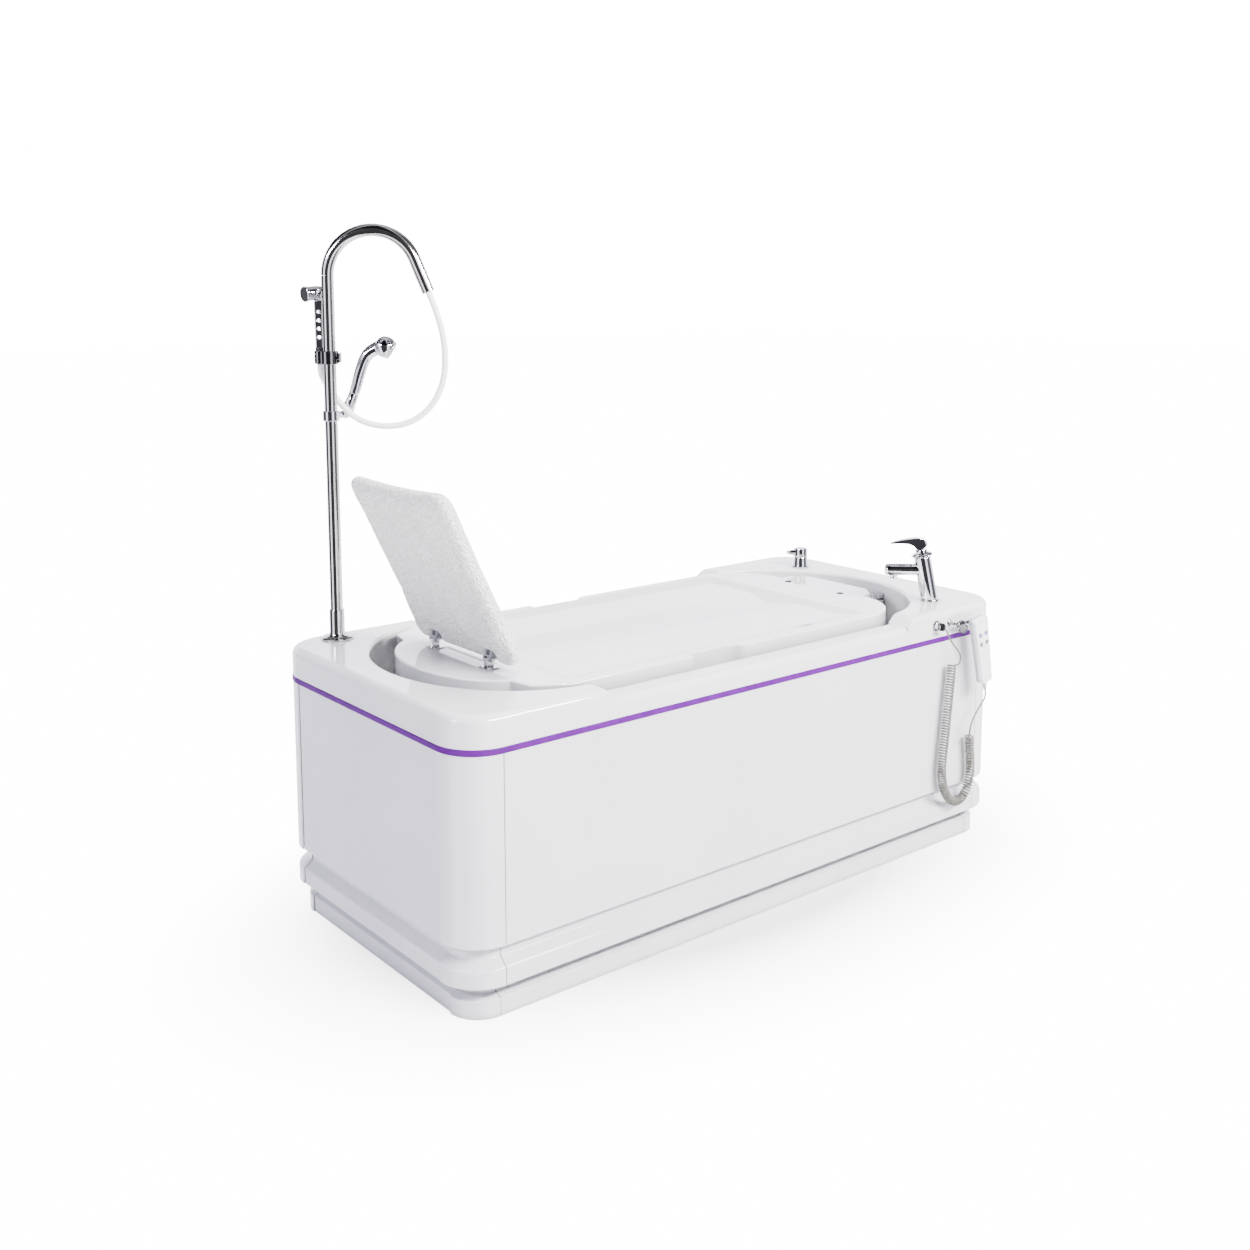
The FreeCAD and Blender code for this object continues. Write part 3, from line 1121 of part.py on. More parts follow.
diverter_frame = Placement(Vector(mm.diverter_x, mm.diverter_y, mm.rim_top),
                           Rotation(Vector(0, 0, 1), mm.diverter_turn))
body = fused([cylinder(cell.diverter_base_radius, cell.diverter_base_sheet, (0, 0, 0)),
              cone(cell.diverter_radius, cell.diverter_top_radius, cell.diverter_body_height, (0, 0, 0)),
              cylinder(cell.diverter_stem_radius, cell.diverter_body_height + cell.diverter_stem_height,
                       (0, 0, 0))])
body.Placement = diverter_frame
node(body, "diverter_body")
low = cell.diverter_body_height + cell.seat_gap
knob = rounded(cylinder(cell.diverter_top_radius, cell.diverter_handle_height, (0, 0, low)),
               cell.diverter_edge_radius,
               lambda edge: edge.BoundBox.ZMin > mm.diverter_body_height + mm.diverter_edge_radius)
pointer = cone(cell.diverter_lever_radius, cell.diverter_lever_tip,
               cell.diverter_top_radius + cell.diverter_lever_length,
               (0, 0, low + cell.diverter_handle_height / 2), (1, 0, 0))
bore = cylinder(cell.diverter_stem_radius + cell.running_gap,
                cell.diverter_stem_height + cell.diverter_edge_radius / 2,
                (0, 0, cell.diverter_body_height))
handle = cut(fused([knob, pointer]), bore)
handle.Placement = diverter_frame
node(handle, "diverter_handle")


# hand control: socket and plug, hook, case with four buttons, and the curly cord

face_y = -mm.bath_width / 2
outwards = (0, -1, 0)
flange = cylinder(cell.socket_flange_radius, cell.socket_flange_sheet,
                  (cell.socket_x, face_y, cell.socket_z), outwards)
barrel = cylinder(cell.socket_barrel_radius, cell.socket_flange_sheet + cell.socket_barrel_length,
                  (cell.socket_x, face_y, cell.socket_z), outwards)
node(fused([flange, barrel]), "pendant_socket")

plug_y = face_y - mm.socket_flange_sheet - mm.socket_barrel_length
shell = cylinder(cell.plug_radius, cell.plug_length, (cell.socket_x, plug_y, cell.socket_z), outwards)
down = math.radians(mm.plug_elbow_angle)
elbow_way = Vector(math.cos(down), 0, -math.sin(down))
elbow_start = Vector(mm.socket_x, plug_y - mm.plug_length / 2, mm.socket_z)
elbow = cylinder(cell.plug_elbow_radius, cell.plug_elbow_length, elbow_start, elbow_way)
node(fused([shell, elbow]), "pendant_plug")
cord_start = elbow_start + mm.plug_elbow_length * elbow_way

hook_y = face_y - mm.hook_reach
bend = mm.hook_bend
slant = bend * (1 - math.sqrt(0.5))
hook_path = Part.Wire([
    Part.LineSegment(Vector(mm.hook_x, face_y, mm.hook_z),
                     Vector(mm.hook_x, hook_y + bend, mm.hook_z)).toShape(),
    arc_through((mm.hook_x, hook_y + bend, mm.hook_z), (mm.hook_x + slant, hook_y + slant, mm.hook_z),
                (mm.hook_x + bend, hook_y, mm.hook_z)),
    Part.LineSegment(Vector(mm.hook_x + bend, hook_y, mm.hook_z),
                     Vector(mm.hook_x + mm.hook_length, hook_y, mm.hook_z)).toShape()])
hook = pipe(hook_path, mm.hook_rod_radius)
hook = hook.fuse(Part.makeCylinder(mm.hook_base_radius, mm.hook_base_sheet,
                                   Vector(mm.hook_x, face_y, mm.hook_z), Vector(*outwards)))
drop = mm.hook_ring_radius - mm.hook_ring_wire - mm.hook_rod_radius + mm.seat_gap
ring = Part.makeTorus(mm.hook_ring_radius, mm.hook_ring_wire,
                      Vector(mm.hook_x + mm.hook_ring_x, hook_y, mm.hook_z - drop), Vector(1, 0, 0))
node(shaped(hook.fuse(ring)), "pendant_hook")

case_y = face_y - mm.pendant_out
case_frame = Placement(Vector(mm.pendant_x, case_y, mm.pendant_top),
                       Rotation(Vector(0, 1, 0), -mm.pendant_lean))
half_depth = mm.pendant_depth / 2
case = pad([(cell.pendant_width / -2, zero), (cell.pendant_foot_width / -2, cell.pendant_length / -1),
            (cell.pendant_foot_width / 2, cell.pendant_length / -1), (cell.pendant_width / 2, zero)],
           cell.pendant_depth, "XZ_Plane")
softened(case, cell.pendant_radius,
         lambda edge: edge.BoundBox.YLength > half_depth and edge.Length < 2 * mm.pendant_depth)
softened(case, cell.pendant_edge_radius,
         lambda edge: edge.BoundBox.YLength < mm.seat_gap and edge.Length > mm.seat_gap)
case.Placement = Placement(Vector(0, half_depth, 0), Rotation())
lug_z = (mm.hook_z - mm.pendant_top) / math.cos(math.radians(mm.pendant_lean))
back = mm.pendant_out - mm.hook_reach
lug = box(cell.pendant_lug, cell.pendant_out - cell.hook_reach + cell.hook_rod_radius
          + cell.lug_rim, cell.pendant_lug, (-mm.pendant_lug / 2, 0, lug_z - mm.pendant_lug / 2))
wells = [cylinder(cell.button_radius + cell.seat_gap, cell.button_depth + cell.button_room,
                  (sx * mm.button_x, -half_depth, -mm.button_first - row * mm.button_pitch), (0, 1, 0))
         for row in (0, 1) for sx in (-1, 1)]
rod_room = cylinder(cell.hook_rod_radius + cell.seat_gap, 2 * cell.pendant_width,
                    Vector(0, back, lug_z) - mm.pendant_width
                    * Vector(math.cos(math.radians(mm.pendant_lean)), 0,
                             -math.sin(math.radians(mm.pendant_lean))),
                    (math.cos(math.radians(mm.pendant_lean)), 0, -math.sin(math.radians(mm.pendant_lean))))
case = cut(fused([case, lug]), fused(wells + [rod_room]))
case.Placement = case_frame
node(case, "pendant_case")

button_names = ("up", "down", "fill", "drain")
for number, name in enumerate(button_names):
    sx, row = (-1, 1)[number % 2], number // 2
    button = cylinder(cell.button_radius, cell.button_depth + cell.button_proud,
                      (sx * mm.button_x, -half_depth - mm.button_proud,
                       -mm.button_first - row * mm.button_pitch), (0, 1, 0))
    button.Placement = case_frame.multiply(button.Placement)
    node(button, f"pendant_button_{name}")

relief = cone(cell.relief_radius, cell.relief_tip_radius, cell.relief_length,
              (0, 0, -mm.pendant_length), (0, 0, -1))
relief.Placement = case_frame.multiply(relief.Placement)
node(relief, "pendant_relief")
cord_end = case_frame.multVec(Vector(0, 0, -mm.pendant_length - mm.relief_length))


def biarc(start, start_way, end, end_way):
    # two arcs that leave the first point and reach the second along the given ways
    span, ways = end - start, start_way + end_way
    curl = 2 * (1 - start_way.dot(end_way))
    along = span.dot(ways)
    reach = (math.sqrt(along ** 2 + curl * span.dot(span)) - along) / curl
    middle = 0.5 * (start + end + reach * (start_way - end_way))
    arcs = []
    for first, corner, last in ((start, start + reach * start_way, middle),
                                (middle, end - reach * end_way, end)):
        foot = 0.5 * (first + last)
        height = (corner - foot).Length
        half = (last - first).Length / 2
        rise = half * math.tan(math.atan2(height, half) / 2)
        arcs.append(Part.Arc(first, foot + rise / height * (corner - foot), last).toShape())
    return arcs


coil_y = face_y - mm.coil_out
axis = Part.BSplineCurve()
axis.interpolate([Vector(mm.socket_x + across * mm.cord_drop, coil_y, mm.socket_z + up * mm.cord_drop)
                  for across, up in coil_shares])
steps = int(2 * mm.coil_turns)
span = axis.length()
sense = Vector(0, 1, 0)


def on_coil(share):
    where = axis.parameterAtDistance(share * span)
    way = axis.tangent(where)[0]
    across = sense.cross(way)
    angle = 2 * math.pi * mm.coil_turns * share - math.pi / 2
    return axis.value(where) + mm.coil_radius * (math.cos(angle) * across + math.sin(angle) * sense)


def coil_way(share, step=1e-5):
    way = on_coil(min(share + step, 1)) - on_coil(max(share - step, 0))
    way.normalize()
    return way


shares = [step / steps for step in range(steps)] + [1.0]
spots = [on_coil(share) for share in shares]
ways = [coil_way(share) for share in shares]
run = 2 * mm.cord_radius
first, last = spots[0] - run * ways[0], spots[-1] + run * ways[-1]
edges = [Part.LineSegment(first, spots[0]).toShape()]
for number in range(len(spots) - 1):
    edges += biarc(spots[number], ways[number], spots[number + 1], ways[number + 1])
edges.append(Part.LineSegment(spots[-1], last).toShape())
coil_path = Part.Wire(edges)
coil = pipe(coil_path, mm.cord_radius)
print("coil length", round(coil_path.Length, 1), "volume over section times length",
      round(coil.Volume / (math.pi * mm.cord_radius ** 2 * coil_path.Length), 4))


def least_gap(shares_per_turn=24):
    # the closest that two strands of the coil come, surface to surface
    count = int(mm.coil_turns * shares_per_turn)
    points = [on_coil(step / count) for step in range(count + 1)]
    least = mm.bath_length
    for number, point in enumerate(points):
        near = points[number + shares_per_turn // 2:number + 2 * shares_per_turn]
        least = min([least] + [(point - other).Length for other in near])
    return least - 2 * mm.cord_radius


print("least gap between curls", round(least_gap(), 2))
node(shaped(coil), "cord_coil")

socket_foot = Vector(mm.socket_x, face_y, mm.socket_z)
lead_in = [cord_start, cord_start + mm.lead_in_run * elbow_way]
lead_in += [socket_foot + mm.cord_drop * Vector(*shares) for shares in lead_in_shares]
lead_in += [first - mm.lead_in_run * ways[0], first]
cord(lead_in, mm.cord_radius, "cord_lead_in")

relief_way = case_frame.multVec(Vector(0, 0, -1)) - case_frame.multVec(Vector(0, 0, 0))
lead_out = [last, last + mm.lead_in_run * ways[-1]]
lead_out += [socket_foot + mm.cord_drop * Vector(*shares) for shares in lead_out_shares]
lead_out += [cord_end + mm.lead_out_run * relief_way, cord_end]
cord(lead_out, mm.cord_radius, "cord_lead_out")


doc.recompute()
for thing in doc.Objects:
    if "Invalid" in thing.State or "Error" in thing.State:
        raise RuntimeError(f"{thing.Label} is {thing.State}")
for thing in parts:
    if thing.Shape.isNull() or not thing.Shape.isValid():
        raise RuntimeError(f"{thing.Label} has a bad shape")
os.makedirs("parts", exist_ok=True)
for thing in parts:
    thing.Shape.exportStep(f"parts/{thing.Label}.step")
print(len(parts), "pieces written")
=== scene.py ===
import json
from math import copysign, cos, pi, radians, sin

import bmesh
import bpy
from mathutils import Matrix, Vector


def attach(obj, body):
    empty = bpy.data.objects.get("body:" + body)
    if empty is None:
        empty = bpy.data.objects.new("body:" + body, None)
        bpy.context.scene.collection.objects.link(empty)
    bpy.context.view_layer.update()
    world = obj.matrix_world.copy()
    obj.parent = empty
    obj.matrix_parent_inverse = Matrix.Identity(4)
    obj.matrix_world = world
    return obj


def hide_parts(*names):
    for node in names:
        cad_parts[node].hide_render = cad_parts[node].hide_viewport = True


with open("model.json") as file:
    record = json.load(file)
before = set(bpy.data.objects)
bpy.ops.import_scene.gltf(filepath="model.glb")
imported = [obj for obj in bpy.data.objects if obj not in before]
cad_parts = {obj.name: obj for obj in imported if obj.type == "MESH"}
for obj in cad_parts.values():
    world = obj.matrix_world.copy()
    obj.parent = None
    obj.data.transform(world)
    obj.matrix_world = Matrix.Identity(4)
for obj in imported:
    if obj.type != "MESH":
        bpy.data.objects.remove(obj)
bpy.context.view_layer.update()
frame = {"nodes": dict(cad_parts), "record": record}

print("frame loaded")


# camera at the photograph's angle

view = {"place": (-2.3217, -2.6848, 1.5279), "turn": 39.25, "tilt": 7.89, "lens": 40.35, "shift": -0.12}
bpy.ops.object.camera_add(location=view["place"], rotation=(
    radians(90 - view["tilt"]), 0, radians(-view["turn"])))
camera = bpy.context.object
camera.data.lens = view["lens"]
camera.data.sensor_width = 36
camera.data.shift_y = view["shift"]
bpy.context.scene.camera = camera


# small tools

def choose(*pieces):
    bpy.ops.object.select_all(action="DESELECT")
    for piece in pieces:
        piece.select_set(True)
    bpy.context.view_layer.objects.active = pieces[0]


def openMesh(piece, kind="FACE", action="DESELECT"):
    choose(piece)
    bpy.ops.object.mode_set(mode="EDIT")
    bpy.ops.mesh.select_mode(type=kind)
    bpy.ops.mesh.select_all(action=action)
    return bmesh.from_edit_mesh(piece.data)


def closeMesh():
    bpy.ops.object.mode_set(mode="OBJECT")


def pickFaces(mesh, test):
    for face in mesh.faces:
        face.select_set(bool(test(face)))
    mesh.select_flush_mode()


def pickEdges(mesh, test):
    for edge in mesh.edges:
        edge.select_set(bool(test(edge)))
    mesh.select_flush_mode()


def addModifier(piece, kind, **settings):
    # adds a modifier, sets it and applies it
    choose(piece)
    modifier = piece.modifiers.new(kind.title(), kind)
    for name, value in settings.items():
        setattr(modifier, name, value)
    bpy.ops.object.modifier_apply(modifier=modifier.name)
    return piece


def moved(piece, matrix):
    piece.matrix_world = matrix @ piece.matrix_world
    choose(piece)
    bpy.ops.object.transform_apply(location=True, rotation=True, scale=True)
    return piece


def framed(place, degrees=0, axis="Z"):
    # a frame at the place, turned about one axis
    return Matrix.Translation(place) @ Matrix.Rotation(radians(degrees), 4, axis)


def facing(place, direction):
    # a frame whose Z axis points along the direction
    turn = Vector(direction).to_track_quat("Z", "Y").to_matrix().to_4x4()
    return Matrix.Translation(Vector(place)) @ turn


def turned(profile, sides=64):
    # a disc drawn up through the steps of its profile, each a radius and a height in millimetres
    bpy.ops.object.select_all(action="DESELECT")
    steps = [(radius / 1000, height / 1000) for radius, height in profile]
    radius, height = steps[0]
    bpy.ops.mesh.primitive_circle_add(vertices=sides, radius=radius, fill_type="NGON",
                                      location=(0, 0, height))
    piece = bpy.context.object
    bpy.ops.object.transform_apply(location=True)
    bpy.ops.object.mode_set(mode="EDIT")
    bpy.ops.mesh.select_all(action="SELECT")
    for (before, low), (after, high) in zip(steps, steps[1:]):
        bpy.ops.mesh.extrude_region_move(TRANSFORM_OT_translate={"value": (0, 0, high - low)})
        share = after / before
        bpy.ops.transform.resize(value=(share, share, 1), center_override=(0, 0, high))
    bpy.ops.mesh.select_all(action="SELECT")
    bpy.ops.mesh.normals_make_consistent(inside=False)
    closeMesh()
    return piece


def turnedAt(place, direction, profile, sides=64):
    return moved(turned(profile, sides), facing(place, direction))


def ringOf(count, radius, profile, sides, first=0):
    # copies of a small turned piece, evenly round a circle
    copies = []
    for number in range(count):
        angle = first + 2 * pi * number / count
        copies.append(moved(turned(profile, sides), framed((radius * cos(angle), radius * sin(angle), 0))))
    return copies


def block(size, place, edge=0, steps=3):
    # a box with softened edges
    bpy.ops.object.select_all(action="DESELECT")
    bpy.ops.mesh.primitive_cube_add(size=1, location=place)
    piece = bpy.context.object
    piece.scale = size
    bpy.ops.object.transform_apply(location=True, rotation=True, scale=True)
    if edge:
        openMesh(piece, "EDGE", "SELECT")
        bpy.ops.mesh.bevel(offset=edge, segments=steps, affect="EDGES")
        closeMesh()
    return piece


def fluted(piece, low, high, border, share):
    # every second face of the band between two heights is sunk, for grip
    mesh = openMesh(piece)
    pickFaces(mesh, lambda face: low < face.calc_center_median().z < high and face.index % 2)
    bpy.ops.mesh.inset(thickness=border, use_individual=True)
    bpy.ops.transform.resize(value=(share, share, 1), center_override=(0, 0, (low + high) / 2))
    closeMesh()
    return piece


def joined(pieces):
    choose(*pieces)
    bpy.ops.object.join()
    return bpy.context.object


def skinned(piece, voxel, rounds):
    # one flowing skin over overlapping shapes
    addModifier(piece, "REMESH", mode="VOXEL", voxel_size=voxel)
    return addModifier(piece, "SMOOTH", factor=0.5, iterations=rounds)


def drilled(piece, tool):
    addModifier(piece, "BOOLEAN", operation="DIFFERENCE", solver="EXACT", object=tool)
    choose(tool)
    bpy.ops.object.delete()
    return piece


def lineThrough(points, steps):
    # a smooth spline with the given points as its controls
    data = bpy.data.curves.new("line", "CURVE")
    data.dimensions = "3D"
    spline = data.splines.new("NURBS")
    spline.points.add(len(points) - 1)
    for control, point in zip(spline.points, points):
        control.co = (*point[:3], 1)
        control.radius = point[3] if len(point) > 3 else 1
    spline.order_u = 3
    spline.use_endpoint_u = True
    data.resolution_u = steps
    data.use_fill_caps = True
    curve = bpy.data.objects.new("line", data)
    bpy.context.scene.collection.objects.link(curve)
    return curve


def pointsAlong(curve):
    mesh = bpy.data.meshes.new_from_object(curve)
    points = [vertex.co.copy() for vertex in mesh.vertices]
    bpy.data.meshes.remove(mesh)
    return points


def tube(points, radius, sides=6, steps=8):
    # a rod along a line of points, as a mesh; a point's fourth number widens it there
    curve = lineThrough(points, steps=steps)
    curve.data.bevel_depth = radius
    curve.data.bevel_resolution = sides
    choose(curve)
    bpy.ops.object.convert(target="MESH")
    return bpy.context.object


def cadCopy(node):
    # the node's own shape, with its loose triangles merged
    piece = bpy.data.objects.new(node + "_skin", frame["nodes"][node].data.copy())
    bpy.context.scene.collection.objects.link(piece)
    openMesh(piece, "VERT", "SELECT")
    bpy.ops.mesh.remove_doubles(threshold=0.00001)
    closeMesh()
    return piece


def dress(piece, name, material, body, standsFor):
    # name, finish and body of a piece, and the model's parts that it stands for
    piece.name = piece.data.name = name
    piece.data.materials.clear()
    piece.data.materials.append(material)
    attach(piece, body)
    if standsFor:
        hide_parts(*standsFor)
    return piece


def finishPiece(piece, name, material, body, standsFor=(), angle=32):
    choose(piece)
    bpy.ops.object.transform_apply(location=True, rotation=True, scale=True)
    bpy.ops.object.shade_smooth_by_angle(angle=radians(angle))
    return dress(piece, name, material, body, standsFor)


def finishLine(curve, name, material, diameter, rings, standsFor):
    curve.data.bevel_depth = diameter / 2
    curve.data.bevel_resolution = rings
    return dress(curve, name, material, "bath", standsFor)


# materials

def newMaterial(name, **sockets):
    material = bpy.data.materials.new(name)
    material.use_nodes = True
    for socket, value in sockets.items():
        shaderOf(material).inputs[socket.replace("_", " ")].default_value = value
    return material


def addNode(owner, kind, **inputs):
    node = owner.node_tree.nodes.new("ShaderNode" + kind)
    for socket, value in inputs.items():
        node.inputs[socket].default_value = value
    return node


def addRange(material, low, high, start, end=1.0):
    limits = {"From Min": low, "From Max": high, "To Min": start, "To Max": end}
    return addNode(material, "MapRange", **limits)


def setEnds(ramp, *ends):
    # the two ends of a colour ramp, each a place and a colour
    for end, (place, colour) in zip(ramp.color_ramp.elements, ends):
        end.position = place
        end.color = (*colour, 1)


def wire(owner, *rows):
    # each row joins an output of one node to a socket of another
    for start, output, end, socket in rows:
        owner.node_tree.links.new(start.outputs[output], end.inputs[socket])


def shaderOf(material):
    return material.node_tree.nodes["Principled BSDF"]


def surfaceNoise(material, scale, detail=4, stretch=(1, 1, 1)):
    # noise that sits in the piece's own space
    mapping = addNode(material, "Mapping", Scale=stretch)
    noise = addNode(material, "TexNoise", Scale=scale, Detail=detail)
    wire(material, (addNode(material, "TexCoord"), "Object", mapping, "Vector"),
         (mapping, "Vector", noise, "Vector"))
    return noise


def addBump(material, noise, strength, depth):
    bump = addNode(material, "Bump", Strength=strength, Distance=depth)
    wire(material, (noise, "Fac", bump, "Height"), (bump, "Normal", shaderOf(material), "Normal"))


def varyRoughness(material, noise, low, high):
    spread = addRange(material, 0.3, 0.7, low, high)
    wire(material, (noise, "Fac", spread, "Value"), (spread, "Result", shaderOf(material), "Roughness"))


def varyColour(material, noise, first, second):
    ramp = addNode(material, "ValToRGB")
    setEnds(ramp, (0.35, first), (0.65, second))
    wire(material, (noise, "Fac", ramp, "Fac"), (ramp, "Color", shaderOf(material), "Base Color"))


def paintCornerShade(material, reach, depth):
    # painted shade: the base colour is darkened in seams and tight corners, where shade gathers
    shader = shaderOf(material)
    near = addNode(material, "AmbientOcclusion", Distance=reach)
    near.samples = 6
    spread = addRange(material, 0.2, 0.85, depth)
    paintedShade = addNode(material, "MixRGB", Fac=1.0)
    paintedShade.blend_type = "MULTIPLY"
    ramp = shader.inputs["Base Color"].links[0].from_node
    wire(material, (ramp, "Color", paintedShade, "Color1"), (near, "AO", spread, "Value"),
         (spread, "Result", paintedShade, "Color2"), (paintedShade, "Color", shader, "Base Color"))


def acrylic(name, first, second, low, high, peel):
    material = newMaterial(name, Coat_Weight=0.6, Coat_Roughness=0.03, IOR=1.49)
    varyColour(material, surfaceNoise(material, 2.5, 2), first, second)
    varyRoughness(material, surfaceNoise(material, 9, 3), low, high)
    addBump(material, surfaceNoise(material, 140, 2), peel, 0.0004)
    return material


def metal(name, colour, low, high, grain=0.0, stretch=(1, 1, 1), scale=60):
    material = newMaterial(name, Metallic=1.0)
    varyColour(material, surfaceNoise(material, 25, 3), [0.94 * part for part in colour], colour)
    varyRoughness(material, surfaceNoise(material, scale, 4, stretch), low, high)
    if grain:
        addBump(material, surfaceNoise(material, scale * 8, 3, stretch), grain, 0.0002)
    return material


def moulded(name, first, second, low, high, grain, scale=900):
    material = newMaterial(name)
    varyColour(material, surfaceNoise(material, 30, 3), first, second)
    varyRoughness(material, surfaceNoise(material, 40, 3), low, high)
    addBump(material, surfaceNoise(material, scale, 3), grain, 0.0003)
    return material


tubWhite = acrylic("tubWhite", (0.665, 0.66, 0.69), (0.70, 0.695, 0.72), 0.05, 0.09, 0.025)
panelWhite = acrylic("panelWhite", (0.61, 0.605, 0.645), (0.65, 0.645, 0.68), 0.06, 0.12, 0.03)
# painted shade in the seams and corners of the white shells
paintCornerShade(tubWhite, 0.09, 0.42)
paintCornerShade(panelWhite, 0.02, 0.3)
violetBead = moulded("violetBead", (0.066, 0.0004, 0.135), (0.078, 0.001, 0.155), 0.38, 0.48, 0.05, 200)
shaderOf(violetBead).inputs["Specular IOR Level"].default_value = 0.14
chrome = metal("chrome", (0.8, 0.8, 0.82), 0.02, 0.06)
poleSteel = metal("poleSteel", (0.72, 0.69, 0.67), 0.1, 0.13)
darkChrome = metal("darkChrome", (0.24, 0.235, 0.24), 0.08, 0.16, 0.02)
brushedSteel = metal("brushedSteel", (0.68, 0.68, 0.69), 0.25, 0.36, 0.3, (1, 1, 0.05), 80)
columnAlloy = metal("columnAlloy", (0.7, 0.71, 0.73), 0.3, 0.42, 0.3, (1, 1, 0.04), 60)
framePaint = moulded("framePaint", (0.55, 0.56, 0.58), (0.6, 0.61, 0.63), 0.35, 0.5, 0.15, 300)
footRubber = moulded("footRubber", (0.012, 0.012, 0.013), (0.022, 0.022, 0.023), 0.7, 0.85, 0.3, 500)
greyPlastic = moulded("greyPlastic", (0.25, 0.26, 0.28), (0.29, 0.3, 0.32), 0.4, 0.55, 0.2)
darkPlastic = moulded("darkPlastic", (0.018, 0.018, 0.02), (0.035, 0.035, 0.04), 0.3, 0.45, 0.15)
hoseWhite = moulded("hoseWhite", (0.9, 0.9, 0.915), (0.93, 0.93, 0.94), 0.28, 0.38, 0.08, 300)
cordGrey = moulded("cordGrey", (0.105, 0.099, 0.09), (0.135, 0.128, 0.117), 0.42, 0.55, 0.1, 400)
controlWhite = moulded("controlWhite", (0.72, 0.72, 0.75), (0.76, 0.76, 0.78), 0.3, 0.42, 0.1, 1200)
controlGrey = moulded("controlGrey", (0.4, 0.4, 0.43), (0.45, 0.45, 0.48), 0.35, 0.5, 0.1, 1200)
keyViolet = moulded("keyViolet", (0.16, 0.09, 0.3), (0.2, 0.12, 0.36), 0.35, 0.5, 0.08, 1200)
keyGrey = moulded("keyGrey", (0.1, 0.1, 0.12), (0.14, 0.14, 0.16), 0.35, 0.5, 0.08, 1200)


def terryCloth():
    # rows of small loops with painted shade between them, and a soft sheen
    material = newMaterial("terryCloth", Roughness=0.9, Sheen_Weight=0.4, Sheen_Roughness=0.5)
    place = addNode(material, "TexCoord")
    warp = addNode(material, "TexNoise", Scale=110, Detail=2)
    shift = addNode(material, "MixRGB", Fac=0.004)
    shift.blend_type = "ADD"
    turn = addNode(material, "Mapping", Rotation=(0.35, 0.5, 0.9), Scale=(1, 1.25, 0.85))
    loops = addNode(material, "TexVoronoi", Scale=172, Randomness=0.4)
    loops.feature = "SMOOTH_F1"
    bump = addNode(material, "Bump", Strength=1.0, Distance=0.011)
    bump.invert = True
    # painted shade: the colour darkens from each loop's top into the gaps between loops
    ramp = addNode(material, "ValToRGB")
    setEnds(ramp, (0.25, (0.985, 0.97, 0.945)), (0.72, (0.46, 0.44, 0.405)))
    shader = shaderOf(material)
    wire(material, (place, "Object", warp, "Vector"), (place, "Object", shift, "Color1"),
         (warp, "Color", shift, "Color2"), (shift, "Color", turn, "Vector"),
         (turn, "Vector", loops, "Vector"), (loops, "Distance", bump, "Height"),
         (bump, "Normal", shader, "Normal"), (loops, "Distance", ramp, "Fac"),
         (ramp, "Color", shader, "Base Color"))
    return material


terry = terryCloth()
finishes = {
    "white_acrylic": tubWhite, "white_panel": panelWhite, "violet_trim": violetBead,
    "frame_paint": framePaint, "column_alloy": columnAlloy, "foot_rubber": footRubber,
    "grey_plastic": greyPlastic, "brushed_steel": brushedSteel, "chrome": chrome,
    "terry_cloth": terry, "white_hose": hoseWhite, "dark_plastic": darkPlastic,
    "pendant_white": controlWhite, "button_plastic": keyViolet, "cord_grey": cordGrey}
slots = {material.name: slot for slot, material in finishes.items()}
slots.update({poleSteel.name: "chrome", darkChrome.name: "chrome", keyGrey.name: "button_plastic"})
for part in frame["record"]["subparts"]:
    data = frame["nodes"][part["node"]].data
    data.materials.clear()
    data.materials.append(finishes[part["material_slot"]])
print("materials made")


# studio: pale floor, soft lamps, and a room of light and dark bands that only reflections see

studio = {"floor": 60, "floorGlow": 16, "sky": 0.62, "mirror": 4.2, "backdrop": 18}
bpy.ops.object.select_all(action="DESELECT")
bpy.ops.mesh.primitive_plane_add(size=studio["floor"], location=(0, 0, 0))
floor = bpy.context.object
floor.name = "floor"
floorMaterial = newMaterial("floorPaint", Roughness=0.8)
varyColour(floorMaterial, surfaceNoise(floorMaterial, 0.4, 2), (0.93, 0.93, 0.94), (0.95, 0.95, 0.96))
# away from the object the floor melts into the white backdrop
floorReach = addNode(floorMaterial, "Mapping", Scale=(0.7, 1.08, 1))
floorFade = addNode(floorMaterial, "TexGradient")
floorFade.gradient_type = "SPHERICAL"
floorRamp = addNode(floorMaterial, "ValToRGB")
setEnds(floorRamp, (0, (1, 1, 1)), (0.5, (0, 0, 0)))
floorShare = addNode(floorMaterial, "Math")
floorShare.operation = "MULTIPLY"
floorGlow = addNode(floorMaterial, "Emission", Strength=studio["floorGlow"])
floorMix = addNode(floorMaterial, "MixShader")
wire(floorMaterial, (addNode(floorMaterial, "TexCoord"), "Object", floorReach, "Vector"),
     (floorReach, "Vector", floorFade, "Vector"), (floorFade, "Color", floorRamp, "Fac"),
     (floorRamp, "Color", floorShare, 0),
     (addNode(floorMaterial, "LightPath"), "Is Camera Ray", floorShare, 1),
     (floorShare, "Value", floorMix, 0), (shaderOf(floorMaterial), "BSDF", floorMix, 1),
     (floorGlow, "Emission", floorMix, 2),
     (floorMix, "Shader", floorMaterial.node_tree.nodes["Material Output"], "Surface"))
floor.data.materials.append(floorMaterial)
floor.visible_glossy = False

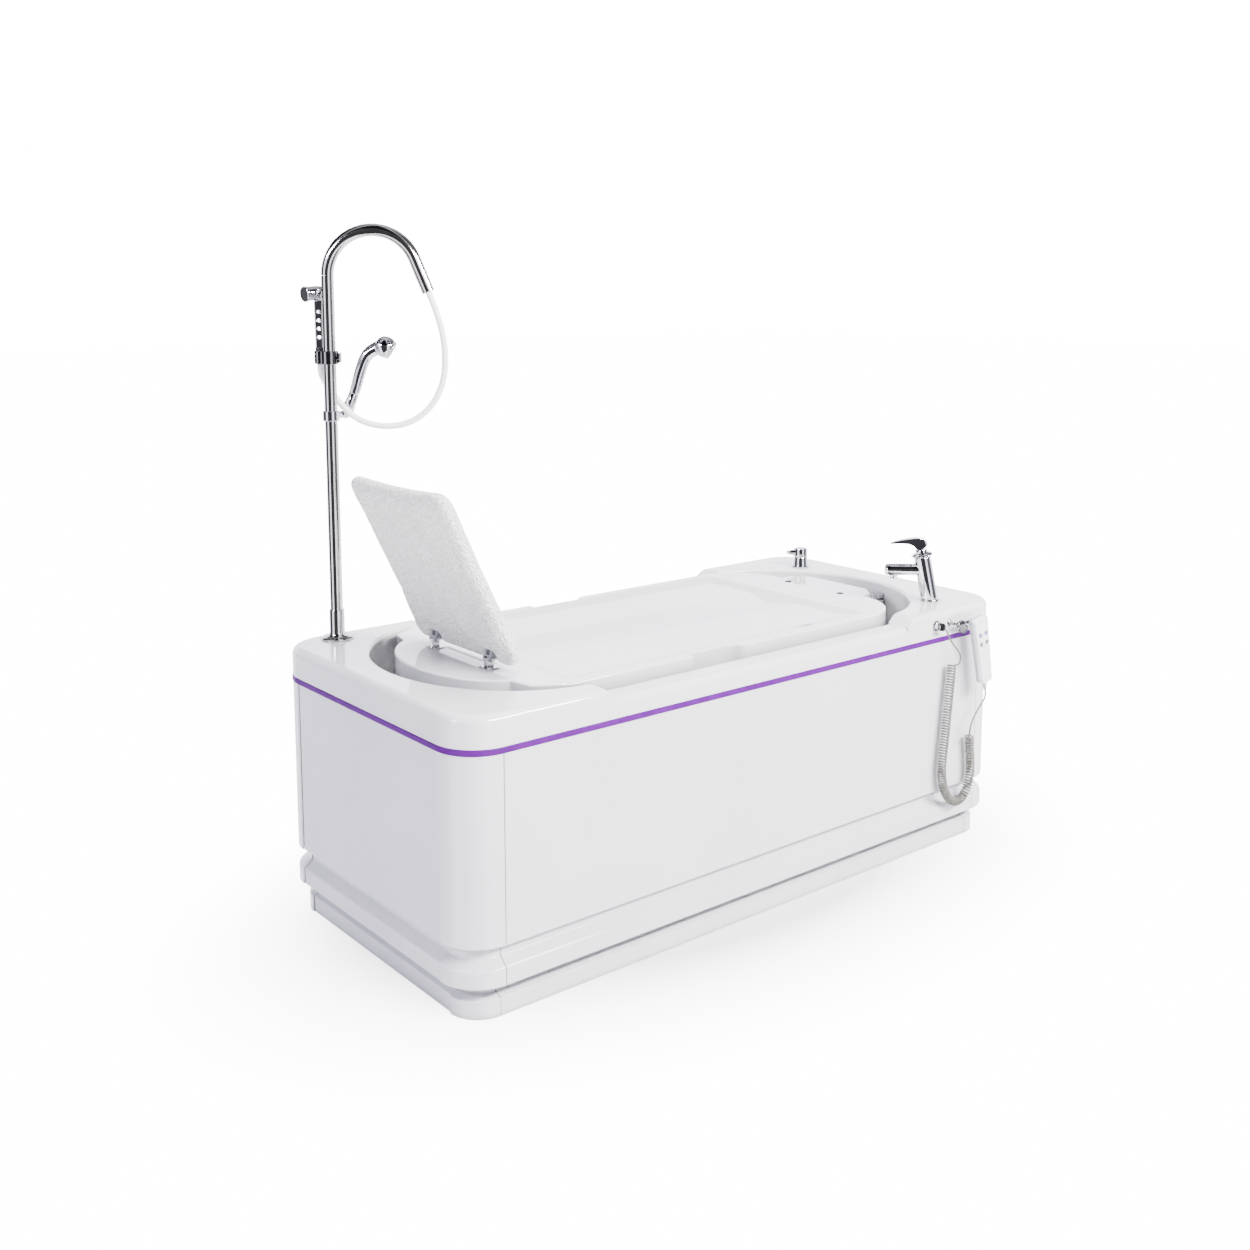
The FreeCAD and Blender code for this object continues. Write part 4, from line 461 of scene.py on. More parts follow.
lamps = [
    {"name": "top", "place": (0.2, 0.9, 4.6), "aim": (0, 0, 0.4), "size": (2.4, 1.6), "power": 350,
     "tint": (1, 1, 1), "mirrored": False},
    {"name": "key", "place": (0.9, -4.2, 3.6), "aim": (0.2, 0, 0.4), "size": (3.6, 0.4), "power": 1350,
     "tint": (1, 0.995, 0.98), "mirrored": True},
    {"name": "side", "place": (-4.8, -0.3, 2.9), "aim": (-0.4, 0, 0.5), "size": (2.2, 0.4), "power": 225,
     "tint": (0.8, 0.8, 1), "mirrored": True},
    {"name": "back", "place": (1.4, 4.6, 2.6), "aim": (0, 0, 0.6), "size": (2.4, 0.9), "power": 330,
     "tint": (1, 1, 1), "mirrored": False},
]
for lamp in lamps:
    data = bpy.data.lights.new(lamp["name"], "AREA")
    data.shape = "RECTANGLE"
    data.size, data.size_y = lamp["size"]
    data.energy, data.color = lamp["power"], lamp["tint"]
    light = bpy.data.objects.new(lamp["name"], data)
    light.visible_glossy = lamp["mirrored"]
    bpy.context.scene.collection.objects.link(light)
    way = Vector(lamp["aim"]) - Vector(lamp["place"])
    light.matrix_world = (Matrix.Translation(Vector(lamp["place"]))
                          @ way.to_track_quat("-Z", "Y").to_matrix().to_4x4())

world = bpy.data.worlds.new("studio")
bpy.context.scene.world = world
world.use_nodes = True
backdrop = world.node_tree.nodes["Background"]
backdrop.inputs["Color"].default_value = (1, 1, 1, 1)
backdrop.inputs["Strength"].default_value = studio["backdrop"]
way = addNode(world, "TexCoord")
split = addNode(world, "SeparateXYZ")
roomTurn = addNode(world, "TexGradient")
roomTurn.gradient_type = "RADIAL"
path = addNode(world, "LightPath")
wire(world, (way, "Generated", split, 0), (way, "Generated", roomTurn, "Vector"))


def greyRamp(source, output, stops):
    ramp = addNode(world, "ValToRGB")
    marks = ramp.color_ramp.elements
    for number, (place, grey) in enumerate(stops):
        mark = marks[number] if number < 2 else marks.new(place)
        mark.position = place
        mark.color = (0.94 * grey, 0.94 * grey, grey, 1)
    wire(world, (source, output, ramp, "Fac"))
    return ramp


def roomLight(strength, source):
    light = addNode(world, "Background", Strength=strength)
    wire(world, (source, "Color", light, "Color"))
    return light


def chooseBy(ray, first, second):
    mixer = addNode(world, "MixShader")
    wire(world, (path, ray, mixer, 0), (first, 0, mixer, 1), (second, 0, mixer, 2))
    return mixer


soft = roomLight(studio["sky"], greyRamp(split, "Z", ((0.0, 0.72), (1.0, 1.0))))
# what reflections see: upright bands round the room, dark behind the camera, fading to a dark ceiling
bands = addNode(world, "MixRGB", Fac=1.0)
bands.blend_type = "MULTIPLY"
roundRoom = greyRamp(roomTurn, "Fac", (
    (0.0, 1.0), (1.0, 1.0), (0.03, 1.0), (0.05, 0.02), (0.2, 0.02), (0.215, 1.0), (0.265, 1.0),
    (0.285, 0.06), (0.4, 0.06), (0.44, 1.0), (0.8, 1.0), (0.83, 0.04), (0.965, 0.04), (0.98, 1.0)))
upRoom = greyRamp(split, "Z", ((0.0, 0.8), (1.0, 0.3), (0.3, 1.0), (0.42, 0.03), (0.75, 0.1)))
wire(world, (roundRoom, "Color", bands, "Color1"), (upRoom, "Color", bands, "Color2"))
seen = chooseBy("Is Glossy Ray", soft, roomLight(studio["mirror"], bands))
seen = chooseBy("Is Camera Ray", seen, backdrop)
wire(world, (seen, "Shader", world.node_tree.nodes["World Output"], "Surface"))
print("studio lit")


# frames of the shower riser, hand control, mixer, diverter and backrest

riserFrame = framed((-0.752, 0.348, 0), -38)
caseFrame = framed((0.708, -0.46, 0.641), -12, "Y")
mixerFrame = framed((0.7, -0.305, 0.662), 140)
mixerLean = mixerFrame @ framed((0, 0, 0), 11, "Y")
capFrame = mixerLean @ framed((0, 0, 0.1243))
diverterFrame = framed((0.757, 0.235, 0.662), 140)
padFrame = Matrix.Translation((-0.618, 0, 0.686)) @ Matrix((
    (-cos(radians(64)), 0, sin(radians(64)), 0), (0, -1, 0, 0),
    (sin(radians(64)), 0, cos(radians(64)), 0), (0, 0, 0, 1)))


# shower hose

hose = {
    "diameter": 0.015, "length": 0.6494,
    "points": ((0.23768, 0, 1.5022), (0.26203, 0, 1.44193), (0.276, 0, 1.366), (0.272, 0, 1.29),
        (0.24, 0, 1.226), (0.186, 0, 1.188), (0.122, 0.004, 1.18), (0.066, 0.012, 1.194),
        (0.03, 0.02, 1.222), (0.002, 0.027, 1.256), (-0.016, 0.024, 1.286),
        (-0.025, 0.014, 1.308), (-0.025, 0.014, 1.333)),
}
hosePoints = [riserFrame @ Vector(point) for point in hose["points"]]
hoseLine = finishLine(lineThrough(hosePoints, steps=16), "hose_line", hoseWhite, hose["diameter"], 8,
                      ["spray_hose"])
print("hose laid")


# curly cord of the hand control, from its plug to the control

curly = {
    "diameter": 0.0046, "radius": 0.01, "turns": 83.68, "perTurn": 16, "length": 5.583,
    "axis": ((0.64, 0.518), (0.64, 0.492), (0.63, 0.409), (0.622, 0.328), (0.6135, 0.267),
        (0.61, 0.222), (0.622, 0.177), (0.646, 0.142), (0.678, 0.127), (0.712, 0.138),
        (0.732, 0.172), (0.736, 0.22), (0.73, 0.263), (0.726, 0.303)),
    "axisY": -0.432, "run": 0.011, "endRun": 0.018,
    "leadIn": ((0.626, -0.432, 0.594), (0.638, -0.436, 0.574), (0.6555, -0.441, 0.554),
        (0.6645, -0.442, 0.539), (0.6634, -0.442, 0.528)),
    "leadOut": ((0.7055, -0.4477, 0.3127), (0.7053, -0.449, 0.325), (0.707, -0.451, 0.349),
        (0.73, -0.456, 0.386), (0.744, -0.4585, 0.401)),
}
elbowWay = Vector((cos(radians(32)), 0, -sin(radians(32))))
elbowStart = Vector((0.597, -0.4285, 0.626))
cordStart = elbowStart + 0.015 * elbowWay
cordEnd = caseFrame @ Vector((0, 0, -0.212))
reliefWay = (caseFrame.to_3x3() @ Vector((0, 0, -1))).normalized()


def curlPoints():
    # the helix round a smooth axis, with enough points for each turn
    axis = lineThrough([(x, curly["axisY"], z) for x, z in curly["axis"]], steps=40)
    line = pointsAlong(axis)
    choose(axis)
    bpy.ops.object.delete()
    reach = [0.0]
    for before, after in zip(line, line[1:]):
        reach.append(reach[-1] + (after - before).length)
    count = round(curly["turns"] * curly["perTurn"])
    swell = 1 / cos(pi / curly["perTurn"])
    sense = Vector((0, 1, 0))
    points, spot = [], 0
    for number in range(count + 1):
        share = number / count
        while spot < len(line) - 2 and reach[spot + 1] < share * reach[-1]:
            spot += 1
        part = (share * reach[-1] - reach[spot]) / (reach[spot + 1] - reach[spot])
        centre = line[spot].lerp(line[spot + 1], part)
        before, after = line[max(spot - 1, 0)], line[min(spot + 2, len(line) - 1)]
        across = sense.cross((after - before).normalized())
        angle = 2 * pi * curly["turns"] * share - pi / 2
        points.append(centre + swell * curly["radius"]
                      * (cos(angle) * across + sin(angle) * sense))
    return points


curls = curlPoints()
curlStart = (curls[1] - curls[0]).normalized()
curlEnd = (curls[-1] - curls[-2]).normalized()
lead = curly["diameter"]
cordPoints = [cordStart, cordStart + curly["run"] * elbowWay]
cordPoints += [Vector(point) for point in curly["leadIn"]]
cordPoints += [curls[0] - (curly["run"] + lead) * curlStart, curls[0] - lead * curlStart]
cordPoints += curls
cordPoints += [curls[-1] + lead * curlEnd, curls[-1] + (curly["run"] + lead) * curlEnd]
cordPoints += [Vector(point) for point in curly["leadOut"]]
cordPoints += [cordEnd + curly["endRun"] * reliefWay, cordEnd]
cordLine = finishLine(lineThrough(cordPoints, steps=3), "control_cord", cordGrey, curly["diameter"], 2,
                      ["cord_lead_in", "cord_coil", "cord_lead_out"])
print("cord wound")


# plug, socket and strain relief; profiles are in millimetres here and below, and all else in metres

plug = {
    "socketAt": (0.597, -0.41, 0.626), "shellAt": (0.597, -0.422, 0.626), "screwCircle": 0.0118,
    "flutes": (0.0048, 0.0112, 0.0001, 0.95),
    "socket": ((14, 0), (14, 2), (13.2, 3), (10.5, 3.1), (10.2, 4.8), (9.6, 5.2), (9.6, 10.8),
        (10.1, 11.2), (10.1, 12), (8.5, 12)),
    "screw": ((1.4, 2.4), (1.4, 3.4), (0.8, 3.7)),
    "shell": ((9.8, 0), (10.8, 0.8), (10.8, 3.5), (10.2, 4.2), (10.6, 4.6), (10.6, 11.2), (9.4, 12.8),
        (6, 13.1)),
    "elbow": ((5.8, 0), (6.1, 3), (5.6, 4.5), (5.8, 6), (5, 7.5), (5.2, 9), (4.2, 10.8), (4.4, 12),
        (3.1, 14.5), (2.4, 15)),
    "bend": ((3, -5.5), (5.2, -3.5), (6, 0), (5.2, 3.5), (3, 5.5)),
}
socketPiece = joined([turned(plug["socket"])]
                     + ringOf(4, plug["screwCircle"], plug["screw"], 16, radians(45)))
finishPiece(moved(socketPiece, facing(plug["socketAt"], (0, -1, 0))), "control_socket", chrome, "bath",
            ["pendant_socket"])
shell = fluted(turned(plug["shell"], 48), *plug["flutes"])
shell = moved(shell, facing(plug["shellAt"], (0, -1, 0)))
elbow = turnedAt(elbowStart, elbowWay, plug["elbow"], 32)
bend = turnedAt(elbowStart, (0, -1, 0), plug["bend"], 32)
plugPiece = finishPiece(joined([shell, elbow, bend]), "control_plug", darkChrome, "bath", ["pendant_plug"])

relief = {"ribs": 7, "first": 1.6, "pitch": 3.2, "wide": 6.8, "taper": 3.2, "long": 26, "groove": 0.85,
          "at": -0.186}
reliefShape = [(relief["wide"], 0)]
for number in range(relief["ribs"]):
    high = relief["first"] + relief["pitch"] * number
    radius = relief["wide"] - relief["taper"] * high / relief["long"]
    sunk = relief["groove"] * radius
    reliefShape += [(radius, high), (radius, high + 1.8), (sunk, high + 2.2), (sunk, high + 2.8)]
reliefShape += [(3.6, 25.2), (2.6, relief["long"])]
reliefPiece = moved(turned(reliefShape, 40), caseFrame @ facing((0, 0, relief["at"]), (0, 0, -1)))
finishPiece(reliefPiece, "control_relief", controlGrey, "bath", ["pendant_relief"])

print("plug and relief fitted")


# hand control: two shells with a seam, a keypad and four keys

control = {
    "length": 0.186, "top": 0.056, "foot": 0.042, "depth": 0.025, "seam": 0.0004,
    "keyX": 0.012, "keyFirst": 0.046, "keyPitch": 0.026, "keyDepth": 0.0075, "lug": -0.0153,
    "well": ((6.3, -20), (6.3, 9)),
    "key": ((5.8, 0), (5.9, 5), (5.4, 6.4), (4.6, 6.8), (3, 6.4), (1.2, 6.2)),
}


def controlShell(low, high, edge):
    piece = block((control["top"], high - low, control["length"]),
                  (0, (low + high) / 2, -control["length"] / 2))
    mesh = openMesh(piece)
    pickFaces(mesh, lambda face: face.normal.z < -0.9)
    bpy.ops.transform.resize(value=(control["foot"] / control["top"], 1, 1))
    bpy.ops.mesh.select_mode(type="EDGE")
    pickEdges(mesh, lambda line: abs(line.verts[0].co.y - line.verts[1].co.y) > 0.001)
    bpy.ops.mesh.bevel(offset=0.009, segments=6, affect="EDGES")
    bpy.ops.mesh.select_mode(type="FACE")
    outside = 1 if high > 0 else -1
    pickFaces(mesh, lambda face: face.normal.y * outside > 0.9)
    bpy.ops.mesh.bevel(offset=edge, segments=5, affect="EDGES")
    closeMesh()
    return piece


def keySpot(side, row, depth):
    return side * control["keyX"], depth, -control["keyFirst"] - row * control["keyPitch"]


front = controlShell(-control["depth"] / 2, -control["seam"], 0.004)
mesh = openMesh(front)
pickFaces(mesh, lambda face: face.normal.y < -0.99 and face.calc_area() > 0.001)
bpy.ops.mesh.inset(thickness=0.0042)
bpy.ops.mesh.extrude_region_move(TRANSFORM_OT_translate={"value": (0, 0.0005, 0)})
bpy.ops.mesh.inset(thickness=0.0005)
bpy.ops.transform.translate(value=(0, -0.0002, 0))
closeMesh()
wells = []
for side in (-1, 1):
    for row in (0, 1):
        wells.append(moved(turned(control["well"], 40), facing(keySpot(side, row, 0), (0, -1, 0))
                           @ framed((0, 0, 0.014))))
front = drilled(front, joined(wells))
bowl = block((0.05, 0.008, 0.16), (0, -0.0045, -0.09), 0.003)
finishPiece(moved(joined([front, bowl]), caseFrame), "control_front", controlWhite, "bath",
            ["pendant_case"], 40)
backShell = controlShell(0, control["depth"] / 2, 0.006)
lug = block((0.016, 0.018, 0.016), (0, 0.0195, control["lug"]), 0.003)
collar = tube([(x, 0.022, control["lug"]) for x in (-0.009, 0, 0.009)], 0.0072, 8, 2)
finishPiece(moved(joined([backShell, lug, collar]), caseFrame), "control_back", controlGrey, "bath",
            angle=40)
for name, side, row, finish in (("up", -1, 0, keyViolet), ("down", 1, 0, keyViolet),
                                ("fill", -1, 1, keyGrey), ("drain", 1, 1, keyGrey)):
    spot = keySpot(side, row, -control["keyDepth"])
    key = moved(turned(control["key"], 40), caseFrame @ facing(spot, (0, -1, 0)))
    finishPiece(key, "key_" + name, finish, "button_" + name, ["pendant_button_" + name])
print("hand control built")


# hook that the control hangs on

hook = {
    "base": (0.652, -0.41, 0.626), "bend": (0.652, -0.438, 0.626), "rod": 0.004, "ring": 0.015,
    "wire": 0.0025, "drop": 0.0088, "ringAt": 0.672, "tipAt": 0.08,
    "path": ((0, -0.411), (0, -0.42), (0, -0.4265), (0.0015, -0.4365), (0.0115, -0.438),
        (0.02, -0.438), (0.05, -0.438), (0.082, -0.438)),
    "tip": ((1.5, 0), (3.4, 0.4), (4.6, 1.4), (4.6, 2.4), (3.4, 3.4), (1.2, 4)),
    "rose": ((9, 0), (9, 1.2), (8.2, 2.4), (6.2, 2.9), (5.2, 4.5), (4.1, 5.5)),
}
hookX, hookY, hookZ = hook["bend"]
rod = tube([(hookX + x, y, hookZ) for x, y in hook["path"]], hook["rod"], 8, 10)
tipBall = turnedAt((hookX + hook["tipAt"], hookY, hookZ), (1, 0, 0), hook["tip"], 32)
rose = turnedAt(hook["base"], (0, -1, 0), hook["rose"], 48)
bpy.ops.object.select_all(action="DESELECT")
bpy.ops.mesh.primitive_torus_add(
    major_radius=hook["ring"], minor_radius=hook["wire"], major_segments=64, minor_segments=20,
    location=(hook["ringAt"], hookY, hookZ - hook["drop"]), rotation=(0, radians(90), 0))
finishPiece(joined([rod, tipBall, rose, bpy.context.object]), "control_hook", darkChrome, "bath",
            ["pendant_hook"], 45)
print("hook bent")


# shower riser: pole with its gooseneck, foot flange and the collar that holds the hand spray

pole = {
    "radius": 0.015, "bendAt": 1.54, "bend": 0.107, "turn": 158, "leg": 0.084, "flangeAt": 0.662,
    "pipe": ((15, 662.5), (15, 1540)),
    "tip": ((7.8, -4), (13.2, -4), (14.9, -1), (14.9, 0), (14.2, 0.6), (9.5, 0.7), (7.8, -0.4)),
    "flange": ((14.8, 0.5), (38.5, 0.5), (40, 1.2), (40, 3.4), (38.4, 5.2), (35, 6), (25.5, 6.4),
        (22.5, 7.6), (19.5, 11.8), (18.1, 18.6), (18, 70.5), (17.3, 72.2), (16.4, 72.4), (16.1, 74),
        (15.1, 74)),
}
poleTurn = radians(pole["turn"])
poleWay = Vector((sin(poleTurn), 0, cos(poleTurn)))


def polePath():
    points = []
    for number in range(41):
        angle = radians(pole["turn"] * number / 40)
        points.append((pole["bend"] * (1 - cos(angle)), 0,
                       pole["bendAt"] + pole["bend"] * sin(angle)))
    points.append((points[-1][0] + pole["leg"] * poleWay.x, 0, points[-1][2] + pole["leg"] * poleWay.z))
    return points


polePoints = polePath()
poleTube = joined([tube(polePoints, pole["radius"], 22, 3), turned(pole["pipe"], 96)])
tipRing = turnedAt(polePoints[-1], poleWay, pole["tip"], 56)
finishPiece(moved(joined([poleTube, tipRing]), riserFrame), "pole_tube", poleSteel, "bath",
            ["shower_riser"], 50)
flange = moved(turned(pole["flange"]), riserFrame @ framed((0, 0, pole["flangeAt"])))
finishPiece(flange, "pole_flange", poleSteel, "bath", ["riser_flange"])

clamp = {
    "low": 1.331, "middle": 1.347, "socket": (-0.025, 0.014), "webTurn": -29,
    "grip": ((15.2, 0.2), (19.8, 0.2), (21, 1.4), (21, 30.6), (19.8, 31.8), (15.2, 31.8)),
    "cup": ((10.2, 0.2), (12.6, 0.2), (13.6, 1.2), (13.6, 30.8), (12.6, 31.8), (10.2, 31.8)),
    "bolt": ((4.5, 0), (4.5, 2.5), (3.8, 3.4), (1.6, 3.6)),
}
grip = moved(turned(clamp["grip"]), framed((0, 0, clamp["low"])))
cup = moved(turned(clamp["cup"]), framed((*clamp["socket"], clamp["low"])))
web = moved(block((0.016, 0.016, 0.03), (0, 0, 0), 0.002),
            framed((-0.0165, 0.0095, clamp["middle"]), clamp["webTurn"]))
wing = block((0.01, 0.026, 0.024), (0.0225, -0.004, clamp["middle"]), 0.0022)
bolt = turnedAt((0.0225, -0.0168, clamp["middle"]), (0, -1, 0), clamp["bolt"], 36)
finishPiece(moved(joined([grip, cup, web, wing, bolt]), riserFrame), "pole_collar", darkChrome, "bath",
            ["riser_collar"])
print("riser built")


# second arm: stub on the pole, union nut, and the arm with its shower head

stub = {
    "end": (0.027, 0.047, 1.208), "bandAt": 1.196, "ball": 0.0109,
    "band": ((15.2, 0), (19, 0), (20, 1), (20, 23), (19, 24), (15.2, 24)),
    "neck": ((9, 14), (9.5, 20), (7.8, 23.5), (7.4, 34), (8.8, 37.5), (8.8, 41), (7.5, 43.5), (7.5, 50)),
}
stubEnd = Vector(stub["end"])
ringBand = moved(turned(stub["band"]), framed((0, 0, stub["bandAt"])))
neck = turnedAt((0, 0, stubEnd.z), (stubEnd.x, stubEnd.y, 0), stub["neck"], 48)
bpy.ops.object.select_all(action="DESELECT")
bpy.ops.mesh.primitive_uv_sphere_add(segments=40, ring_count=24, radius=stub["ball"], location=stubEnd)
finishPiece(moved(joined([ringBand, neck, bpy.context.object]), riserFrame), "pole_stub", chrome, "bath",
            ["arm_stub"], 40)

arm = {
    "lean": 23, "foot": 0.053, "straight": 0.092, "bend": 0.055, "turn": 52, "tilt": 45, "radius": 0.0142,
    "nut": ((10.6, 9.2), (14.2, 9.4), (15, 10.5), (15, 21.5), (14.3, 22.5), (13.6, 23.2), (14.2, 24),
        (14.2, 26.2), (13.4, 27.2), (12.4, 51.5), (11.8, 52.8)),
    "cavity": ((0.4, -11.2), (6, -9.6), (11.1, 0), (10.6, 3.8), (6, 9.6), (0.4, 11.3)),
    "dome": ((6, -18.5), (14.5, -16), (20.8, -10.5), (24.5, -3), (26.2, 5.5), (25.8, 13), (23.8, 19.5),
        (21.4, 23.2)),
    "rim": ((20.8, 21.2), (22.4, 22.2), (22.8, 23.8), (22.2, 25.4), (20.6, 26), (19.2, 25.4),
        (18.8, 24.6)),
    "plate": ((18.9, 22), (18.9, 24.6), (17.5, 25.4), (12, 26), (1, 26.3)),
    "nub": ((1.1, 24.8), (1, 26.6), (0.6, 26.9)),
    "nozzles": ((0.0055, 6), (0.0105, 12), (0.0155, 18)), "flutes": (0.0107, 0.0213, 0.0002, 0.965),
}
armLean = radians(arm["lean"])
armAxis = Vector((sin(armLean), 0, cos(armLean)))
outward = Vector((-cos(armLean), 0, sin(armLean)))
nut = fluted(turned(arm["nut"], 48), *arm["flutes"])
nut = drilled(nut, turned(arm["cavity"], 40))
finishPiece(moved(nut, riserFrame @ facing(stubEnd, armAxis)), "arm_nut", chrome, "swivel_arm",
            ["arm_union"], 30)
foot = stubEnd + arm["foot"] * armAxis
knee = foot + arm["straight"] * armAxis
centre = knee - arm["bend"] * outward


def onArm(degrees):
    angle = armLean + radians(degrees)
    return centre + arm["bend"] * Vector((-cos(angle), 0, sin(angle)))


aimAngle = armLean + radians(arm["turn"] + arm["tilt"])
aim = Vector((sin(aimAngle), 0, cos(aimAngle)))
crown = onArm(arm["turn"])
armPath = [(*foot, 0.9), (*(foot + 0.018 * armAxis + 0.001 * outward), 0.93),
           (*(foot + 0.05 * armAxis + 0.006 * outward), 0.98), (*(knee + 0.008 * outward), 1.04),
           (*(onArm(20) + 0.004 * outward), 1.1), (*onArm(38), 1.17), (*crown, 1.22)]
stalk = tube(armPath, arm["radius"], 10, 10)
armBody = skinned(joined([stalk, turnedAt(crown, aim, arm["dome"])]), 0.0013, 22)
finishPiece(moved(armBody, riserFrame), "arm_body", chrome, "swivel_arm", ["shower_arm"], 60)
headFrame = riserFrame @ facing(crown, aim)
finishPiece(moved(turned(arm["rim"], 72), headFrame), "arm_rim", chrome, "swivel_arm", angle=50)
nozzles = [turned(arm["plate"], 64)]
for radius, count in arm["nozzles"]:
    nozzles += ringOf(count, radius, arm["nub"], 10)
finishPiece(moved(joined(nozzles), headFrame), "arm_nozzles", greyPlastic, "swivel_arm")
print("arm built")


# hand spray: grip with four holes, head, pivot and squeeze lever

spray = {
    "x": -0.025, "y": 0.014, "low": 1.333, "gripLow": 1.367, "grip": 0.114, "headZ": 1.5,
    "pivot": (-0.025, 0.028, 1.471), "lever": 0.062, "leverTurn": 12, "holes": 4, "holeLow": 0.028,
    "holePitch": 0.02, "reach": 0.019, "way": (-0.087, -0.048, -0.01), "faceWay": (-0.72, -0.68, -0.1),
    "stem": ((8.8, 0), (9.8, 0.8), (9.9, 31), (10.4, 32.5), (11.2, 34.5), (9.8, 37.5)),
    "hole": ((4.5, -20), (4.5, 20)),
    "barrel": ((4, -16), (9.5, -14.5), (13.5, -11), (15.8, -5), (16.6, 2), (17, 12), (17, 29),
        (18.2, 31.5)),
    "throat": ((8.5, -20), (9.5, -8), (12.5, 2), (13, 10)),
    "rim": ((17.8, 30.5), (18.8, 31.8), (19, 33.5), (18.6, 36.2), (17.2, 37), (16.5, 36.2)),
    "face": ((16.5, 33), (16.5, 35.8), (13.5, 35.2), (13.2, 34.4), (10.5, 34.4), (10.2, 35.2),
        (6.5, 35.2), (6.2, 34.4), (3.5, 34.4), (3, 35.4), (0.8, 35.6)),
    "eye": ((2.2, -4.9), (3.8, -4.9), (4, -4.5), (4, 4.5), (3.8, 4.9), (2.2, 4.9)),
}
sprayX, sprayY = spray["x"], spray["y"]
stem = moved(turned(spray["stem"], 48), framed((sprayX, sprayY, spray["low"])))
finishPiece(moved(stem, riserFrame), "spray_foot", darkPlastic, "bath")
handle = block((0.021, 0.014, spray["grip"]), (sprayX, sprayY, spray["gripLow"] + spray["grip"] / 2),
               0.0034, 4)
mesh = openMesh(handle, "VERT")
for vertex in mesh.verts:
    share = (vertex.co.z - spray["gripLow"]) / spray["grip"]
    vertex.co.x = sprayX + (vertex.co.x - sprayX) * (0.86 + 0.2 * share)
bmesh.update_edit_mesh(handle.data)
closeMesh()
holeLow = spray["gripLow"] + spray["holeLow"]
handle = drilled(handle, joined([
    turnedAt((sprayX, sprayY, holeLow + spray["holePitch"] * number), (0, 1, 0), spray["hole"], 40)
    for number in range(spray["holes"])]))
addModifier(handle, "BEVEL", width=0.0007, segments=2, limit_method="ANGLE", angle_limit=radians(40))
sprayWay, faceWay = Vector(spray["way"]).normalized(), Vector(spray["faceWay"]).normalized()
headStart = Vector((sprayX, sprayY, spray["headZ"]))
faceStart = headStart + spray["reach"] * sprayWay - spray["reach"] * faceWay
barrel = turnedAt(faceStart, faceWay, spray["barrel"])
throat = moved(turned(spray["throat"], 48), framed(headStart))
sprayHead = skinned(joined([barrel, throat]), 0.0012, 20)
sprayPiece = joined([handle, sprayHead, turnedAt(faceStart, faceWay, spray["rim"])])
pivotX, pivotY, pivotZ = spray["pivot"]
pivot = [block((0.003, 0.011, 0.009), (pivotX + side * 0.0068, sprayY + 0.0115, pivotZ), 0.0008)
         for side in (-1, 1)]
pin = tube([(pivotX + x, pivotY, pivotZ) for x in (-0.0085, 0, 0.0085)], 0.002, 6, 2)
finishPiece(moved(joined([sprayPiece, pin] + pivot), riserFrame), "spray_body", chrome, "bath",
            ["hand_spray"], 45)
face = moved(turned(spray["face"], 56), riserFrame @ facing(faceStart, faceWay))
finishPiece(face, "spray_face", greyPlastic, "bath")
lever = block((0.0098, 0.0036, spray["lever"]), (0, 0, -spray["lever"] / 2), 0.0012)
addModifier(lever, "SUBSURF", levels=2, render_levels=2, subdivision_type="SIMPLE")
mesh = openMesh(lever, "VERT")
for vertex in mesh.verts:
    share = -vertex.co.z / spray["lever"]
    vertex.co.y += 0.0035 * sin(pi * share) * share
    vertex.co.x *= 1 - 0.25 * share
bmesh.update_edit_mesh(lever.data)
closeMesh()
eyeRing = turnedAt((0, 0, 0), (1, 0, 0), spray["eye"], 32)
leverFrame = riserFrame @ framed(spray["pivot"], spray["leverTurn"], "X")
finishPiece(moved(joined([lever, eyeRing]), leverFrame), "spray_lever", chrome, "trigger",
            ["spray_trigger"], 40)
print("hand spray built")


# mixer: leaning body with its spout, cap and beaked lever

mixer = {
    "spoutAt": 0.087, "outletAt": 0.084, "deck": (0.7, -0.305, 0.6622), "hinge": (0, 0, 0.033),
    "body": ((22.6, -12), (23.2, 12), (22.6, 70), (22.2, 123.5)),
    "spout": ((15.5, -4), (15.7, 60), (15.8, 96), (15.2, 102.5), (12.8, 106.5), (9, 108)),
    "outlet": ((10.2, 0), (10.2, 21.2)),
    "tip": ((8.5, 19.5), (9.8, 20.3), (10.1, 21.2), (10.1, 23.2), (9.2, 24), (8.2, 24)),
    "base": ((25.5, 0.2), (27, 1), (27, 3.4), (26.2, 4.6), (23.8, 5.2), (22.5, 5.2)),
    "cap": ((20.5, 0), (23.2, 0.1), (26.2, 1.2), (28.6, 2.6), (29, 3.8), (28.4, 5.2), (25, 7.8),
        (20.5, 8.8), (17.8, 9.6), (16.6, 11.2), (16.2, 17.6), (15.5, 19), (6.2, 19.6)),
    "eye": ((5.8, -5), (6, 5)),
    "pin": ((2.9, -11), (2.9, 11)),
    "bore": ((3.1, -20), (3.1, 20)),
}
body = moved(turned(mixer["body"], 72), mixerLean)
spoutStart = mixerLean @ Vector((0, 0, mixer["spoutAt"]))
spoutWay = mixerFrame.to_3x3() @ Vector((1, 0, 0))
spout = turnedAt(spoutStart, spoutWay, mixer["spout"], 56)
outletStart = spoutStart + mixer["outletAt"] * spoutWay
outlet = turnedAt(outletStart, (0, 0, -1), mixer["outlet"], 48)
mixerBody = skinned(joined([body, spout, outlet]), 0.0014, 20)
openMesh(mixerBody, "FACE", "SELECT")
bpy.ops.mesh.bisect(plane_co=mixer["deck"], plane_no=(0, 0, 1), clear_inner=True, use_fill=True)
closeMesh()
tip = turnedAt(outletStart, (0, 0, -1), mixer["tip"], 48)
base = moved(turned(mixer["base"], 72), mixerFrame)
